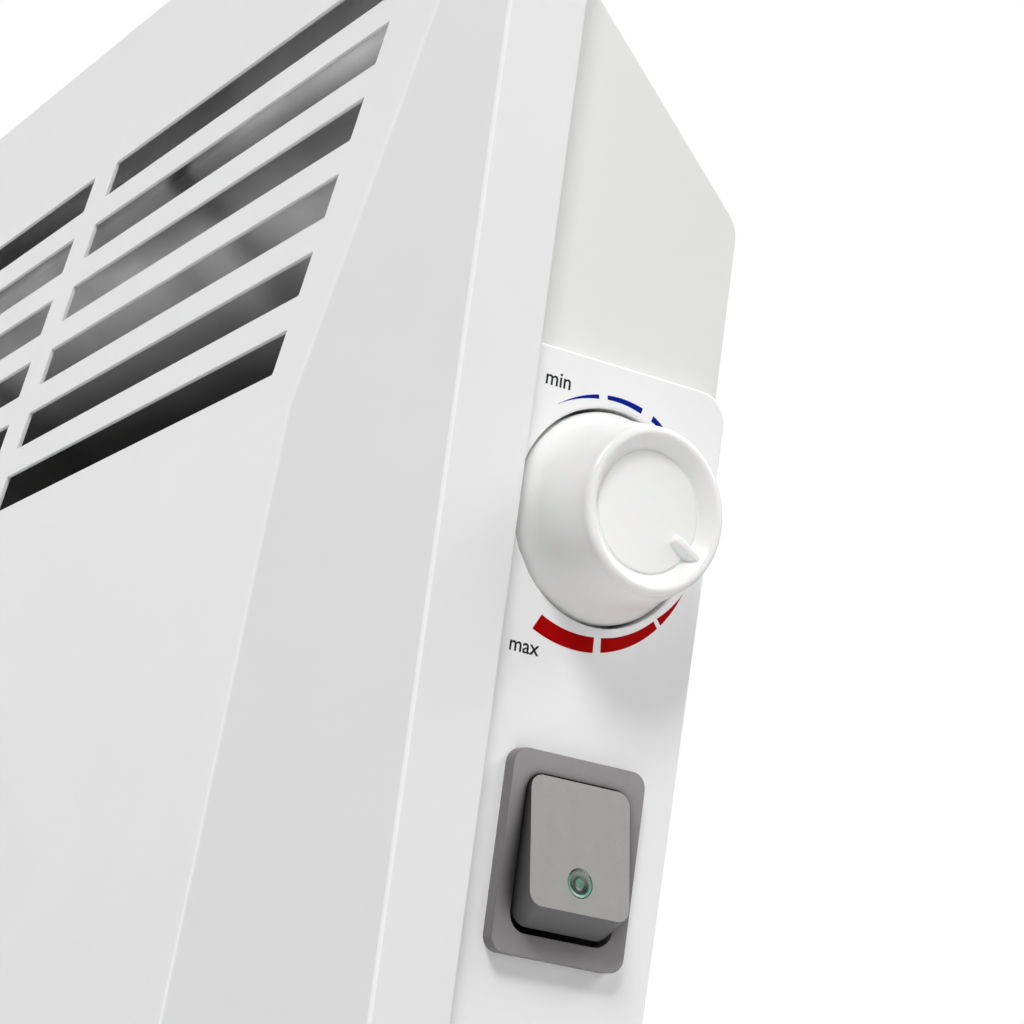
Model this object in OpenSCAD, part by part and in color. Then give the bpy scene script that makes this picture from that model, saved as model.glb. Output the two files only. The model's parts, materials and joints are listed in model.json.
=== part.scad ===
// Wall-hung electric convector heater with its controls on the right side.
// X is the width, seen from the front. Y runs from the front to the wall. Z is up.
// The origin is on the wall, at the centre of the wall bracket's four screw holes.
// Heights below are measured from the bottom edge of the front cover.
// Sizes on the tapered side are (s, z, n): s runs back from the front corner line,
// z is the height and n is the distance out of the side strip's face.

/* [Body] */
// Width over the two front corner lines
body_w = 558; // [540:1:700]
// Height of the front cover
body_h = 440; // [432:1:470]
// Depth from the corner lines to the outside of the back panel
corner_depth = 50.3; // [49:0.1:58]
// Gap that the wall bracket leaves between the back panel and the wall
wall_gap = 14; // [12:0.5:20]
// Slope of the two housing sides, which narrow towards the wall
side_taper = 12; // [9:0.5:14]
// Depth of the front cover's side strips
strip_depth = 13.56; // [12.5:0.02:15]
// Step from a side strip in to the side cheek
side_step = 7; // [6:0.1:9]
// Start of the back's sloping top, below the cover's top edge
slope_start = 72; // [66:1:80]
// Angle of the sloping top of the back, above level
slope_angle = 42.5; // [38:0.5:44]
// Depth of the cover's open back that the upper back wall closes
upper_wall_in = 3.6; // [2.5:0.1:4.5]

/* [Front cover] */
// Height of the sloping face that holds the outlet slots
outlet_h = 117.1; // [112:0.1:124]
// Backward lean of the outlet face
outlet_tilt = 10; // [8:0.5:11]
// Forward lean of the lower face, whose bottom stands further out
lower_tilt = 2.9; // [2:0.1:4]
// Angle of the corner bevels, from the width axis
bevel_angle = 54.5; // [50:0.5:60]
// Thickness of the painted steel sheet
sheet_t = 0.8; // [0.7:0.05:1.2]
// Width of the flange round the cover's bottom
bottom_flange = 14; // [13:0.5:20]

/* [Outlet slots] */
// Number of rows of slots
slot_rows = 6; // [4:1:7]
// Number of columns of slots
slot_cols = 3; // [2:1:3]
// Length of a slot
slot_l = 157.3; // [120:0.1:160]
// Height of a slot, along the face
slot_h = 7.6; // [6:0.1:9]
// Spacing of the rows, along the face
slot_pitch = 13.4; // [12:0.01:14]
// Width of the web between two columns
slot_web = 13.9; // [8:0.1:16]
// Distance from the fold up to the lowest slot
slot_base = 7.65; // [6:0.05:12]

/* [Controls] */
// Distance from the corner line back to the knob's axis
control_s = 32.7; // [32:0.1:33.5]
// Distance of the knob's axis below the cover's top edge
knob_z = 124.6; // [122:0.1:130]
// Height of the control plate above the knob's axis
plate_above = 24; // [22:0.5:30]
// Height of the control plate below the knob's axis
plate_below = 93; // [90:0.5:100]
// Thickness of the control plate
plate_t = 3; // [2.5:0.1:3.4]
// Radius of the control plate's rear top corner
plate_corner_r = 4.75; // [3:0.25:6]
// Radius of the knob's well in the plate
well_r = 17; // [16.6:0.1:17.4]
// Gap between the knob's skirt and its well
well_gap = 0.55; // [0.3:0.05:0.8]
// Height of the knob's face above the plate
knob_h = 12.9; // [11:0.1:15]
// Radius of the knob's face
knob_face_r = 13; // [12.5:0.1:14]
// Radius of the raised disc in the knob's face
knob_disc_r = 9.3; // [8:0.1:9.6]
// Angle of the knob's pointer in the rest pose, from level towards the wall
pointer_angle = -30.5; // [-118:0.5:125]
// Radius of the thermostat's shaft
shaft_r = 3; // [2.5:0.1:3.5]

/* [Rocker switch] */
// Drop from the knob's axis to the switch's centre
switch_drop = 53.2; // [52:0.1:56]
// Width of the switch's frame
bezel_w = 24.6; // [24:0.1:26]
// Height of the switch's frame
bezel_h = 30.8; // [30:0.1:32]
// Distance that the frame stands out of the plate
bezel_t = 2.3; // [1.8:0.1:3]
// Width of the opening in the frame
opening_w = 19; // [18:0.1:19.5]
// Height of the opening in the frame
opening_h = 24.1; // [23.8:0.1:24.6]
// Gap between the rocker and the opening at each side
rocker_gap = 0.25; // [0.2:0.05:0.5]
// Swing of the rocker each way from level
rocker_swing = 11; // [8:0.5:12]
// Radius of the indicator lens
lens_r = 2.3; // [1.8:0.1:2.5]

/* [Heating element] */
// Length of the finned body
element_l = 340; // [280:5:345]
// Height of the element's centre
element_z = 120; // [100:1:160]
// Radius of the sheathed tube
tube_r = 4.2; // [3:0.1:4.5]
// Length of each of the four wings
wing_l = 38; // [25:1:44]

/* [Wall bracket] */
// Height of the bracket's screw pattern above the cover's bottom edge
bracket_z = 230; // [220:1:240]
// Width of the screw pattern
hole_span_x = 300; // [240:5:320]
// Height of the screw pattern
hole_span_z = 160; // [150:5:170]
// Radius of a wall screw hole
wall_hole_r = 2.75; // [2:0.25:3.5]
// Thickness of the bracket's sheet
bracket_t = 1.5; // [1.2:0.1:2]

/* [Hidden] */

// General clearances and stock sizes
eps = 0.05;
fit_gap = 0.3;
thread_gap = 0.05;
run_gap = 0.05;
panel_t = 0.8;
cheek_t = 2.5;
boss_r = 4;
screw_r = 1.75;
screw_head_r = 3.4;
screw_head_t = 1.8;

// Main planes
corner_x = body_w / 2;
back_y = -wall_gap;
corner_y = back_y - corner_depth;
strip_rear_y = corner_y + strip_depth;
fold_z = body_h - outlet_h;
fold_y = corner_y - outlet_h * tan(outlet_tilt);
front_bottom_y = fold_y - fold_z * tan(lower_tilt);
upper_y = strip_rear_y - upper_wall_in;
slope_z = body_h - slope_start;
slope_top = slope_z + (back_y - upper_y) * tan(slope_angle);
back_in_y = back_y - panel_t;
grille_z = sheet_t;
panel_z = grille_z + panel_t;
cheek_z = panel_z + fit_gap;
top_in_z = body_h - sheet_t;
cheek_n = -side_step;
cheek_in_n = cheek_n - cheek_t;
plate_n = cheek_n + plate_t;
cheek_rear_s = side_s(back_y, cheek_n);
cheek_front_s = 3;
rear_corner_r = 5.5;
axis_z = body_h - knob_z;
switch_z = axis_z - switch_drop;
switch_s = control_s - 0.2;

// Straight line geometry
function unit(v) = v / norm(v);
function inward(a, b) = [a.y - b.y, b.x - a.x] / norm(b - a);
function meet(n1, c1, n2, c2) =
    [c1 * n2.y - c2 * n1.y, n1.x * c2 - n2.x * c1] / (n1.x * n2.y - n1.y * n2.x);
// Convex outline with each edge i moved inward by d[i]
function inset(p, d) = [for (i = [0 : len(p) - 1])
    let (h = (i + len(p) - 1) % len(p), j = (i + 1) % len(p),
         n1 = inward(p[h], p[i]), n2 = inward(p[i], p[j]))
    meet(n1, n1 * p[h] + d[h], n2, n2 * p[i] + d[i])];
// Open path moved to its left by d
function shifted(p, d) = [for (i = [0 : len(p) - 1])
    let (last = len(p) - 1,
         n1 = inward(p[max(i - 1, 0)], p[max(i, 1)]),
         n2 = inward(p[min(i, last - 1)], p[min(i + 1, last)]))
    (i == 0 || i == last) ? p[i] + (i == 0 ? n2 : n1) * d
        : meet(n1, n1 * p[i] + d, n2, n2 * p[i] + d)];
function reversed(p) = [for (i = [len(p) - 1 : -1 : 0]) p[i]];
function sheet_outline(p, t) = concat(p, reversed(shifted(p, t)));
// Outline whose corner i is rounded with radius r[i]
function rounded(p, r, steps = 6) = [for (i = [0 : len(p) - 1])
    let (a = unit(p[(i + len(p) - 1) % len(p)] - p[i]),
         b = unit(p[(i + 1) % len(p)] - p[i]),
         half = acos(a * b) / 2,
         c = p[i] + unit(a + b) * r[i] / sin(half),
         u = p[i] + a * r[i] / tan(half) - c,
         turn = (a.x * b.y - a.y * b.x > 0 ? -1 : 1) * (180 - 2 * half))
    each r[i] == 0 ? [p[i]] : [for (k = [0 : steps])
        c + [u.x * cos(turn * k / steps) - u.y * sin(turn * k / steps),
             u.x * sin(turn * k / steps) + u.y * cos(turn * k / steps)]]];

// Plan outline of the body at a distance d inside the cover's bevels and strips
function bevel_x(y, d) = corner_x + (y - corner_y) / tan(bevel_angle) - d / sin(bevel_angle);
function strip_x(y, d) = corner_x - (y - corner_y) * tan(side_taper) - d / cos(side_taper);
function corner_in_y(d) = corner_y + d * (1 / sin(bevel_angle) - 1 / cos(side_taper))
    / (1 / tan(bevel_angle) + tan(side_taper));
function plan(y0, y1, d) = let (yc = corner_in_y(d)) [
    [-bevel_x(y0, d), y0], [bevel_x(y0, d), y0], [strip_x(yc, d), yc],
    [strip_x(y1, d), y1], [-strip_x(y1, d), y1], [-strip_x(yc, d), yc]];
// Position along the tapered side of a point at depth y and offset n
function side_s(y, n) = (y - corner_y - n * sin(side_taper)) / cos(side_taper);
// Row coordinates of a point (s, z, n) of the right side
function side_point(s, z, n) = [
    corner_x - s * sin(side_taper) + n * cos(side_taper),
    corner_y + s * cos(side_taper) + n * sin(side_taper), z];

module place() {
    translate([0, 0, -bracket_z]) children();
}
module along_x(x0, x1) {
    translate([x0, 0, 0]) rotate([90, 0, 90]) linear_extrude(x1 - x0) children();
}
module prism(z0, z1) {
    translate([0, 0, z0]) linear_extrude(z1 - z0) children();
}
// Local x is s, local y is z and local z is n on the right side of the body
module right_side() {
    translate([corner_x, corner_y, 0]) rotate([0, 0, side_taper]) rotate([90, 0, 90]) children();
}
module on_side(n0, n1) {
    right_side() translate([0, 0, n0]) linear_extrude(n1 - n0) children();
}
// Local z is the side's outward normal, with the origin at (s, z, n)
module side_at(s, z, n) {
    right_side() translate([s, z, n]) children();
}
module back_hole(x, z, r) {
    translate([x, back_y + 1, z]) rotate([90, 0, 0]) cylinder(h = panel_t + 2, r = r, $fn = 32);
}
// Screw along +Z with its head's underside at the origin
module screw(length) {
    translate([0, 0, -screw_head_t]) cylinder(h = screw_head_t, r = screw_head_r, $fn = 32);
    translate([0, 0, -eps]) cylinder(h = length + eps, r = screw_r, $fn = 24);
}
// Driver recess of a screw whose head ends at -screw_head_t
module screw_recess() {
    depth = screw_head_t * 0.55;
    for (a = [0, 90]) rotate([0, 0, a])
        translate([-screw_head_r * 0.6, -0.45, -screw_head_t - eps])
            cube([screw_head_r * 1.2, 0.9, depth + eps]);
}
module cross_screw(length) {
    difference() {
        screw(length);
        screw_recess();
    }
}

// Front cover: one folded sheet with the outlet slots
cover_profile = [
    [front_bottom_y, 0], [strip_rear_y, 0], [strip_rear_y, body_h],
    [corner_y, body_h], [fold_y, fold_z]];
cover_inside = inset(cover_profile, [sheet_t, -1, sheet_t, sheet_t, sheet_t]);
cover_screw_x = [-corner_x * 0.68, 0, corner_x * 0.68];
cover_screw_y = front_bottom_y + bottom_flange / 2;
slot_field_l = slot_cols * slot_l + (slot_cols - 1) * slot_web;
module cover_block(outline, y_rear, d) {
    intersection() {
        along_x(-corner_x, corner_x) polygon(outline);
        prism(-1, body_h + 1) polygon(plan(front_bottom_y - 1, y_rear, d));
    }
}
module slot_field() {
    translate([-slot_field_l / 2, fold_y, fold_z]) rotate([-outlet_tilt, 0, 0])
        for (c = [0 : slot_cols - 1], r = [0 : slot_rows - 1])
            translate([c * (slot_l + slot_web), -2, slot_base + r * slot_pitch])
                cube([slot_l, sheet_t + 4, slot_h]);
}
module front_cover() {
    color([0.93, 0.93, 0.93]) place() difference() {
        cover_block(cover_profile, strip_rear_y, 0);
        cover_block(cover_inside, strip_rear_y + 1, sheet_t);
        prism(-1, sheet_t + 1)
            polygon(plan(front_bottom_y + bottom_flange, strip_rear_y + 1, bottom_flange));
        slot_field();
        for (x = cover_screw_x) translate([x, cover_screw_y, -1])
            cylinder(h = sheet_t + 2, r = screw_r + fit_gap, $fn = 32);
    }
}

// Back panel: back wall, sloping top and upper wall in one folded sheet
panel_path = [
    [back_y - 18, panel_z], [back_y, panel_z], [back_y, slope_z],
    [upper_y, slope_top], [upper_y, top_in_z], [corner_y + 2.5, top_in_z]];
panel_side_in = side_step + cheek_t + fit_gap;
cheek_screw_z = [60, 190, slope_z - 80];
cheek_tab_w = 16;
cheek_tab_h = 24;
function cheek_screw_x() = strip_x(back_y, panel_side_in) - cheek_tab_w / 2;
hook_x = hole_span_x * 0.4;
hook_w = 28;
hook_z = slope_z - 34;
spacer_x = corner_x - 62;
spacer_z = 42;
spacer_r = 9;
gland_x = corner_x - 52;
gland_z = 92;
gland_r = 7;
cord_r = 4;
lock_z = bracket_z - hole_span_z / 2 - 24;
block_x = corner_x - 56;
block_z = 150;
block_ear = 24;
cutout_x = 120;
cutout_z = element_z + 110;
earth_x = corner_x - 56;
earth_z = 200;
partition_x = corner_x - 80;
partition_top = slope_z - 32;
panel_screw_z = [30, partition_top - 46];
deflector_foot = slope_z - 18;
deflector_screw_x = 190;
element_foot_x = element_l / 2 + 14;
tube_half = element_foot_x + 9;
element_end = 9;
blade_w = 5;
element_y = back_y - 40;
element_x = (partition_x - strip_x(element_y, panel_side_in)) / 2;
foot_h = 48;
foot_w = 14;
foot_screw_dz = foot_h / 2 - 7;
module panel_holes() {
    for (m = [-1, 1]) {
        for (z = cheek_screw_z) back_hole(m * cheek_screw_x(), z, screw_r + fit_gap);
        translate([m * hook_x - hook_w / 2 - 1, back_y - panel_t - 1, hook_z + bracket_t - 14.5])
            cube([hook_w + 2, panel_t + 2, 14.5 + thread_gap]);
        back_hole(m * deflector_screw_x, deflector_foot + 5, screw_r + thread_gap);
        back_hole(m * spacer_x, spacer_z, spacer_r / 2 + run_gap);
        for (dz = [-1, 1])
            back_hole(element_x + m * (element_foot_x - foot_w / 2), element_z + dz * foot_screw_dz,
                      screw_r + thread_gap);
    }
    back_hole(gland_x, gland_z, gland_r + run_gap);
    back_hole(0, lock_z, screw_r + fit_gap);
    back_hole(cutout_x, cutout_z - 18, screw_r + thread_gap);
    back_hole(earth_x, earth_z, screw_r + thread_gap);
    for (dx = [-1, 1]) back_hole(block_x, block_z + dx * block_ear, screw_r + thread_gap);
    for (z = panel_screw_z) back_hole(partition_x - 7, z, screw_r + fit_gap);
}
module back_panel() {
    color([0.88, 0.88, 0.87]) place() difference() {
        intersection() {
            along_x(-corner_x, corner_x) polygon(sheet_outline(panel_path, panel_t));
            prism(-1, body_h + 1) polygon(plan(front_bottom_y, 0, panel_side_in));
        }
        panel_holes();
    }
}

// Side cheeks: moulded end walls with a rib behind the cover's strip
cheek_outline = rounded([
    [cheek_front_s, cheek_z], [cheek_rear_s, cheek_z], [cheek_rear_s, slope_z],
    [side_s(upper_y, cheek_n), slope_top], [side_s(upper_y, cheek_n), top_in_z - panel_t - fit_gap],
    [cheek_front_s, top_in_z - panel_t - fit_gap]],
    [0, rear_corner_r, rear_corner_r, 0, 0, 0]);
rib_s = side_s(strip_rear_y, 0) - 4;
rib_t = 1.5;
tab_y = back_in_y - cheek_t;
module cheek() {
    on_side(cheek_in_n, cheek_n) polygon(cheek_outline);
    on_side(cheek_n - eps, -sheet_t - fit_gap)
        translate([rib_s, cheek_z]) square([rib_t, top_in_z - fit_gap - cheek_z]);
    difference() {
        intersection() {
            for (z = cheek_screw_z)
                translate([strip_x(back_y, panel_side_in) - cheek_tab_w, tab_y, z - cheek_tab_h / 2])
                    cube([cheek_tab_w + 8, cheek_t, cheek_tab_h]);
            prism(0, body_h) polygon(plan(front_bottom_y, 0, side_step + cheek_t / 2));
        }
        for (z = cheek_screw_z) translate([cheek_screw_x(), back_y, z]) rotate([90, 0, 0])
            cylinder(h = panel_t + cheek_t + 2, r = screw_r + thread_gap, $fn = 32);
    }
}
bracket_boss = [[-13, -27], [13, -27], [-13, 27], [13, 27]];
collar_t = 1.3;
collar_n = cheek_in_n - 0.5;
bracket_n = cheek_in_n - 3.3;
switch_body_w = opening_w + 2.8;
switch_body_h = opening_h + 3.7;
module right_cheek() {
    color([0.88, 0.88, 0.87]) place() {
        difference() {
            cheek();
            side_at(control_s, axis_z, cheek_in_n - 1)
                cylinder(h = cheek_t + 2, r = well_r + collar_t + fit_gap, $fn = 64);
            side_at(switch_s, switch_z, cheek_in_n - 1) translate([0, 0, (cheek_t + 2) / 2])
                cube([switch_body_w + 2 * fit_gap, switch_body_h + 2 * fit_gap, cheek_t + 2],
                     center = true);
        }
        for (b = bracket_boss) difference() {
            side_at(control_s + b.x, axis_z + b.y, bracket_n)
                cylinder(h = cheek_in_n - bracket_n + eps, r = boss_r, $fn = 32);
            side_at(control_s + b.x, axis_z + b.y, bracket_n - 1)
                cylinder(h = cheek_in_n - bracket_n + 1, r = screw_r + thread_gap, $fn = 32);
        }
    }
}
module left_cheek() {
    color([0.88, 0.88, 0.87]) place() mirror([1, 0, 0]) cheek();
}

// Inlet grille: slotted sheet that closes the bottom between cover and back panel
inlet_slot_l = 60;
inlet_slot_w = 5;
inlet_cols = floor((body_w - 100) / (inlet_slot_l + 10));
module inlet_grille() {
    color([0.80, 0.80, 0.79]) place() difference() {
        prism(grille_z, panel_z)
            polygon(plan(front_bottom_y + 3, back_y - 1, side_step + cheek_t + 2));
        for (c = [0 : inlet_cols - 1], r = [0 : 4])
            translate([(c - (inlet_cols - 1) / 2) * (inlet_slot_l + 10) - inlet_slot_l / 2,
                       back_y - 28 - r * 10 - inlet_slot_w, grille_z - 1])
                cube([inlet_slot_l, inlet_slot_w, panel_t + 2]);
        for (x = cover_screw_x) translate([x, cover_screw_y, grille_z - 1])
            cylinder(h = panel_t + 2, r = screw_r + thread_gap, $fn = 32);
    }
}

// Control plate with the knob's well and the switch's cut-out
plate_front_s = side_s(strip_rear_y, 0) - 0.9;
plate_rear_top = cheek_rear_s + 0.2;
plate_rear_bottom = cheek_rear_s - 1.5;
module control_plate() {
    color([0.93, 0.93, 0.93]) place() difference() {
        union() {
            on_side(cheek_n, plate_n) polygon(rounded([
                [plate_front_s, axis_z - plate_below], [plate_rear_bottom, axis_z - plate_below],
                [plate_rear_top, axis_z + plate_above], [plate_front_s, axis_z + plate_above]],
                [0, plate_corner_r, plate_corner_r, 0]));
            side_at(control_s, axis_z, collar_n)
                cylinder(h = cheek_n - collar_n + eps, r = well_r + collar_t, $fn = 64);
        }
        side_at(control_s, axis_z, collar_n - 1)
            cylinder(h = plate_n - collar_n + 2, r = well_r, $fn = 64);
        side_at(switch_s, switch_z, (cheek_n + plate_n) / 2)
            cube([switch_body_w + 0.2, switch_body_h + 0.2, plate_t + 2], center = true);
    }
}

// Thermostat knob: a hollow tapered turning with a disc and a raised pointer
knob_skirt = 3.5;
knob_wall = 1.6;
recess_d = 2.1;
skirt_r = well_r - well_gap;
boss_clear = 0.05;
knob_boss_r = shaft_r + 2.2;
shaft_end = plate_n + knob_h - recess_d - 2.6;
knob_outer = [
    [skirt_r, -knob_skirt], [skirt_r, 0], [skirt_r - 0.8, knob_h * 0.25],
    [knob_face_r + 1.4, knob_h * 0.6], [knob_face_r + 0.35, knob_h * 0.86],
    [knob_face_r, knob_h - 0.7], [knob_face_r - 0.3, knob_h - 0.2], [knob_face_r - 0.9, knob_h],
    [knob_face_r - 1.4, knob_h - 0.1], [knob_face_r - 1.75, knob_h - 0.5],
    [knob_disc_r + 0.35, knob_h - recess_d - 0.25], [knob_disc_r, knob_h - recess_d - 0.25],
    [knob_disc_r - 0.1, knob_h - recess_d], [0, knob_h - recess_d]];
knob_inner = [
    [0, knob_h - recess_d - knob_wall], [knob_face_r - 1.8, knob_h - recess_d - knob_wall],
    [skirt_r - knob_wall - 0.8, knob_h * 0.25], [skirt_r - knob_wall, 0],
    [skirt_r - knob_wall, -knob_skirt]];
module d_shaft(length, r) {
    difference() {
        cylinder(h = length, r = r, $fn = 32);
        translate([-r, r - 1, -1]) cube([2 * r, 2, length + 2]);
    }
}
module thermostat_knob() {
    color([0.96, 0.96, 0.95]) place() side_at(control_s, axis_z, plate_n)
        rotate([0, 0, pointer_angle]) {
            rotate_extrude($fn = 96) polygon(concat(knob_outer, knob_inner));
            difference() {
                translate([0, 0, -knob_skirt])
                    cylinder(h = knob_h - recess_d - knob_wall + knob_skirt + eps,
                             r = knob_boss_r, $fn = 48);
                translate([0, 0, -knob_skirt - 1])
                    d_shaft(shaft_end - plate_n + knob_skirt + 1 + fit_gap,
                            shaft_r + boss_clear);
            }
            translate([5.9, -0.75, knob_h - recess_d - eps])
                cube([knob_disc_r - 5.9 + 2.05, 1.5, 1.1]);
        }
}

// Thermostat with its shaft, bushing, nut and mounting bracket
shaft_in = bracket_n - 14;
body_depth = 20;
bush_r = 5;
nut_t = 2.5;
nut_r = 7;
bracket_sheet = 1.2;
body_back_n = bracket_n - bracket_sheet - body_depth;
bush_end_n = bracket_n + nut_t + 0.4;
module thermostat_shaft() {
    color([0.80, 0.80, 0.82]) place() side_at(control_s, axis_z, shaft_in)
        rotate([0, 0, pointer_angle]) d_shaft(shaft_end - shaft_in, shaft_r);
}
module thermostat_body() {
    color([0.25, 0.25, 0.27]) place() difference() {
        union() {
            side_at(control_s, axis_z, body_back_n) translate([-17, -16, 0])
                cube([32, 32, body_depth]);
            side_at(control_s, axis_z, bracket_n - bracket_sheet - eps)
                cylinder(h = bush_end_n - bracket_n + bracket_sheet + eps, r = bush_r, $fn = 48);
        }
        side_at(control_s, axis_z, shaft_in - 2)
            cylinder(h = 40, r = shaft_r + run_gap, $fn = 48);
    }
}
module thermostat_nut() {
    color([0.78, 0.76, 0.70]) place() difference() {
        side_at(control_s, axis_z, bracket_n) cylinder(h = nut_t, r = nut_r, $fn = 6);
        side_at(control_s, axis_z, bracket_n - 1)
            cylinder(h = nut_t + 2, r = bush_r + thread_gap, $fn = 48);
    }
}
module control_bracket() {
    color([0.75, 0.76, 0.77]) place() difference() {
        on_side(bracket_n - bracket_sheet, bracket_n)
            translate([control_s - 18, axis_z - 32]) square([36, 64]);
        side_at(control_s, axis_z, bracket_n - 5)
            cylinder(h = 10, r = bush_r + thread_gap, $fn = 48);
        for (b = bracket_boss) side_at(control_s + b.x, axis_z + b.y, bracket_n - 5)
            cylinder(h = 10, r = screw_r + fit_gap, $fn = 32);
    }
}

// Rocker switch: frame, rocker on its pin, lens and lamp
frame_n = plate_n + bezel_t;
rocker_w = opening_w - 2 * rocker_gap;
rocker_top = 10.65;
rocker_bottom = 9.6;
rocker_rise = 6.95;
rocker_foot = [11.7, 2.1];
rocker_proud = 0.5;
rocker_face_r = 2.2;
rocker_foot_r = 2.8;
opening_r = 3;
bezel_r = 2.5;
pivot_n = frame_n + rocker_proud - rocker_rise * cos(rocker_swing) + rocker_top * sin(rocker_swing);
pin_r = 1.25;
switch_floor_n = pivot_n - 12;
lens_z = -4.9;
// Rectangle of width w from -low to high with corner radius r
function pad(w, low, high, r) = rounded([
    [-w / 2, -low], [w / 2, -low], [w / 2, high], [-w / 2, high]], [r, r, r, r]);
module at_pivot() {
    side_at(switch_s, switch_z, pivot_n) rotate([-rocker_swing, 0, 0]) children();
}
module switch_frame() {
    color([0.50, 0.49, 0.49]) place() side_at(switch_s, switch_z, 0) difference() {
        union() {
            translate([0, 0, plate_n]) linear_extrude(bezel_t)
                polygon(pad(bezel_w, bezel_h / 2, bezel_h / 2, bezel_r));
            translate([-switch_body_w / 2, -switch_body_h / 2, switch_floor_n - 1.5])
                cube([switch_body_w, switch_body_h, plate_n - switch_floor_n + 1.5 + eps]);
        }
        translate([-opening_w / 2, -opening_h / 2, switch_floor_n])
            cube([opening_w, opening_h, plate_n - switch_floor_n]);
        translate([0, 0, plate_n - eps]) linear_extrude(bezel_t + 1)
            polygon(pad(opening_w, opening_h / 2, opening_h / 2, opening_r));
        translate([-bezel_w, 0, pivot_n]) rotate([0, 90, 0])
            cylinder(h = 2 * bezel_w, r = pin_r + 0.02, $fn = 32);
        for (z = terminal_z) translate([-3.35, z - 0.5, switch_floor_n - 3])
            cube([6.7, 1, 5]);
    }
}
rocker_base = [
    [-rocker_foot.x, rocker_foot.y + 2 * eps], [-11.2, -1.2], [-8, -3.6],
    [8, -3.6], [11.2, -1.2], [rocker_foot.x, rocker_foot.y + 2 * eps]];
rocker_hollow = [
    [-7.8, -4.6], [7.8, -4.6], [8.4, rocker_rise - 1.7], [-8.0, rocker_rise - 1.7]];
module across_rocker(w) {
    translate([-w / 2, 0, 0]) rotate([90, 0, 90]) linear_extrude(w) children();
}
module switch_rocker() {
    color([0.62, 0.61, 0.60]) place() at_pivot() difference() {
        union() {
            difference() {
                hull() {
                    translate([0, 0, rocker_foot.y]) linear_extrude(eps)
                        polygon(pad(rocker_w, rocker_foot.x, rocker_foot.x, rocker_foot_r));
                    translate([0, 0, rocker_rise - eps]) linear_extrude(eps)
                        polygon(pad(rocker_w, rocker_bottom, rocker_top, rocker_face_r));
                }
                intersection() {
                    across_rocker(rocker_w - eps) polygon(rocker_base);
                    prism(-4, rocker_foot.y + 2 * eps) polygon(
                        pad(rocker_w - eps, rocker_foot.x - eps, rocker_foot.x - eps, rocker_foot_r));
                }
                across_rocker(rocker_w - 3.2) polygon(rocker_hollow);
            }
            translate([-rocker_w / 2, 0, 0]) rotate([0, 90, 0])
                cylinder(h = rocker_w, r = pin_r + 1.3, $fn = 32);
        }
        translate([-rocker_w, 0, 0]) rotate([0, 90, 0])
            cylinder(h = 2 * rocker_w, r = pin_r + run_gap, $fn = 32);
        translate([0, lens_z, 0]) cylinder(h = 10, r = lens_r + 0.02, $fn = 48);
    }
}
module rocker_pin() {
    color([0.78, 0.78, 0.80]) place() side_at(switch_s, switch_z, pivot_n)
        translate([-switch_body_w / 2 + 0.2, 0, 0]) rotate([0, 90, 0])
            cylinder(h = switch_body_w - 0.4, r = pin_r, $fn = 32);
}
module indicator_lens() {
    color([0.25, 0.50, 0.44]) place() at_pivot() translate([0, lens_z, 0]) {
        translate([0, 0, rocker_rise - 2.2]) cylinder(h = 2.2, r = lens_r, $fn = 48);
        translate([0, 0, rocker_rise - eps]) cylinder(h = 0.3 + eps, r1 = lens_r, r2 = lens_r - 0.4,
                                                    $fn = 48);
    }
}
module indicator_lamp() {
    color([0.90, 0.92, 0.85]) place() at_pivot() translate([0, lens_z, rocker_rise - 2.2 - 2])
        rotate_extrude($fn = 32) polygon([[0, -1.4], [1.2, -1.4], [1.5, -0.9], [1.5, 1],
            [1.2, 1.7], [0.6, 1.95], [0, 2]]);
}
terminal_z = [-8, 0, 8];
module switch_terminals() {
    color([0.80, 0.70, 0.40]) place() side_at(switch_s, switch_z, 0)
        for (z = terminal_z) translate([-3.15, z - 0.4, switch_floor_n - 9.5])
            cube([6.3, 0.8, 10.5]);
}

// Heating element: a sheathed tube inside a four-winged aluminium body
core_r = tube_r + 3.5;
wing_t = 1.8;
wing_angle = 16;
foot_t = 1.2;
ebush_r = tube_r + 3.6;
module element_at() {
    translate([element_x, element_y, element_z]) children();
}
module wing_outline() {
    difference() {
        union() {
            circle(r = core_r, $fn = 48);
            for (a = [-wing_angle, wing_angle, 180 - wing_angle, 180 + wing_angle]) rotate(a)
                translate([-wing_t / 2, 0]) {
                    square([wing_t, core_r + wing_l]);
                    for (k = [1 : 3]) translate([-wing_t, core_r + k * wing_l / 3 - wing_t])
                        square([3 * wing_t, wing_t * 0.7]);
                }
        }
        circle(r = tube_r + thread_gap, $fn = 48);
    }
}
module element_fins() {
    color([0.78, 0.79, 0.80]) place() element_at() along_x(-element_l / 2, element_l / 2)
        wing_outline();
}
module element_tube() {
    color([0.55, 0.54, 0.53]) place() element_at() rotate([0, 90, 0])
        translate([0, 0, -tube_half]) cylinder(h = 2 * tube_half, r = tube_r, $fn = 48);
}
module element_terminals() {
    color([0.78, 0.78, 0.80]) place() element_at() for (m = [-1, 1])
        translate([m > 0 ? tube_half : -tube_half - element_end, -0.4, -blade_w / 2])
            cube([element_end, 0.8, blade_w]);
}
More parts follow.
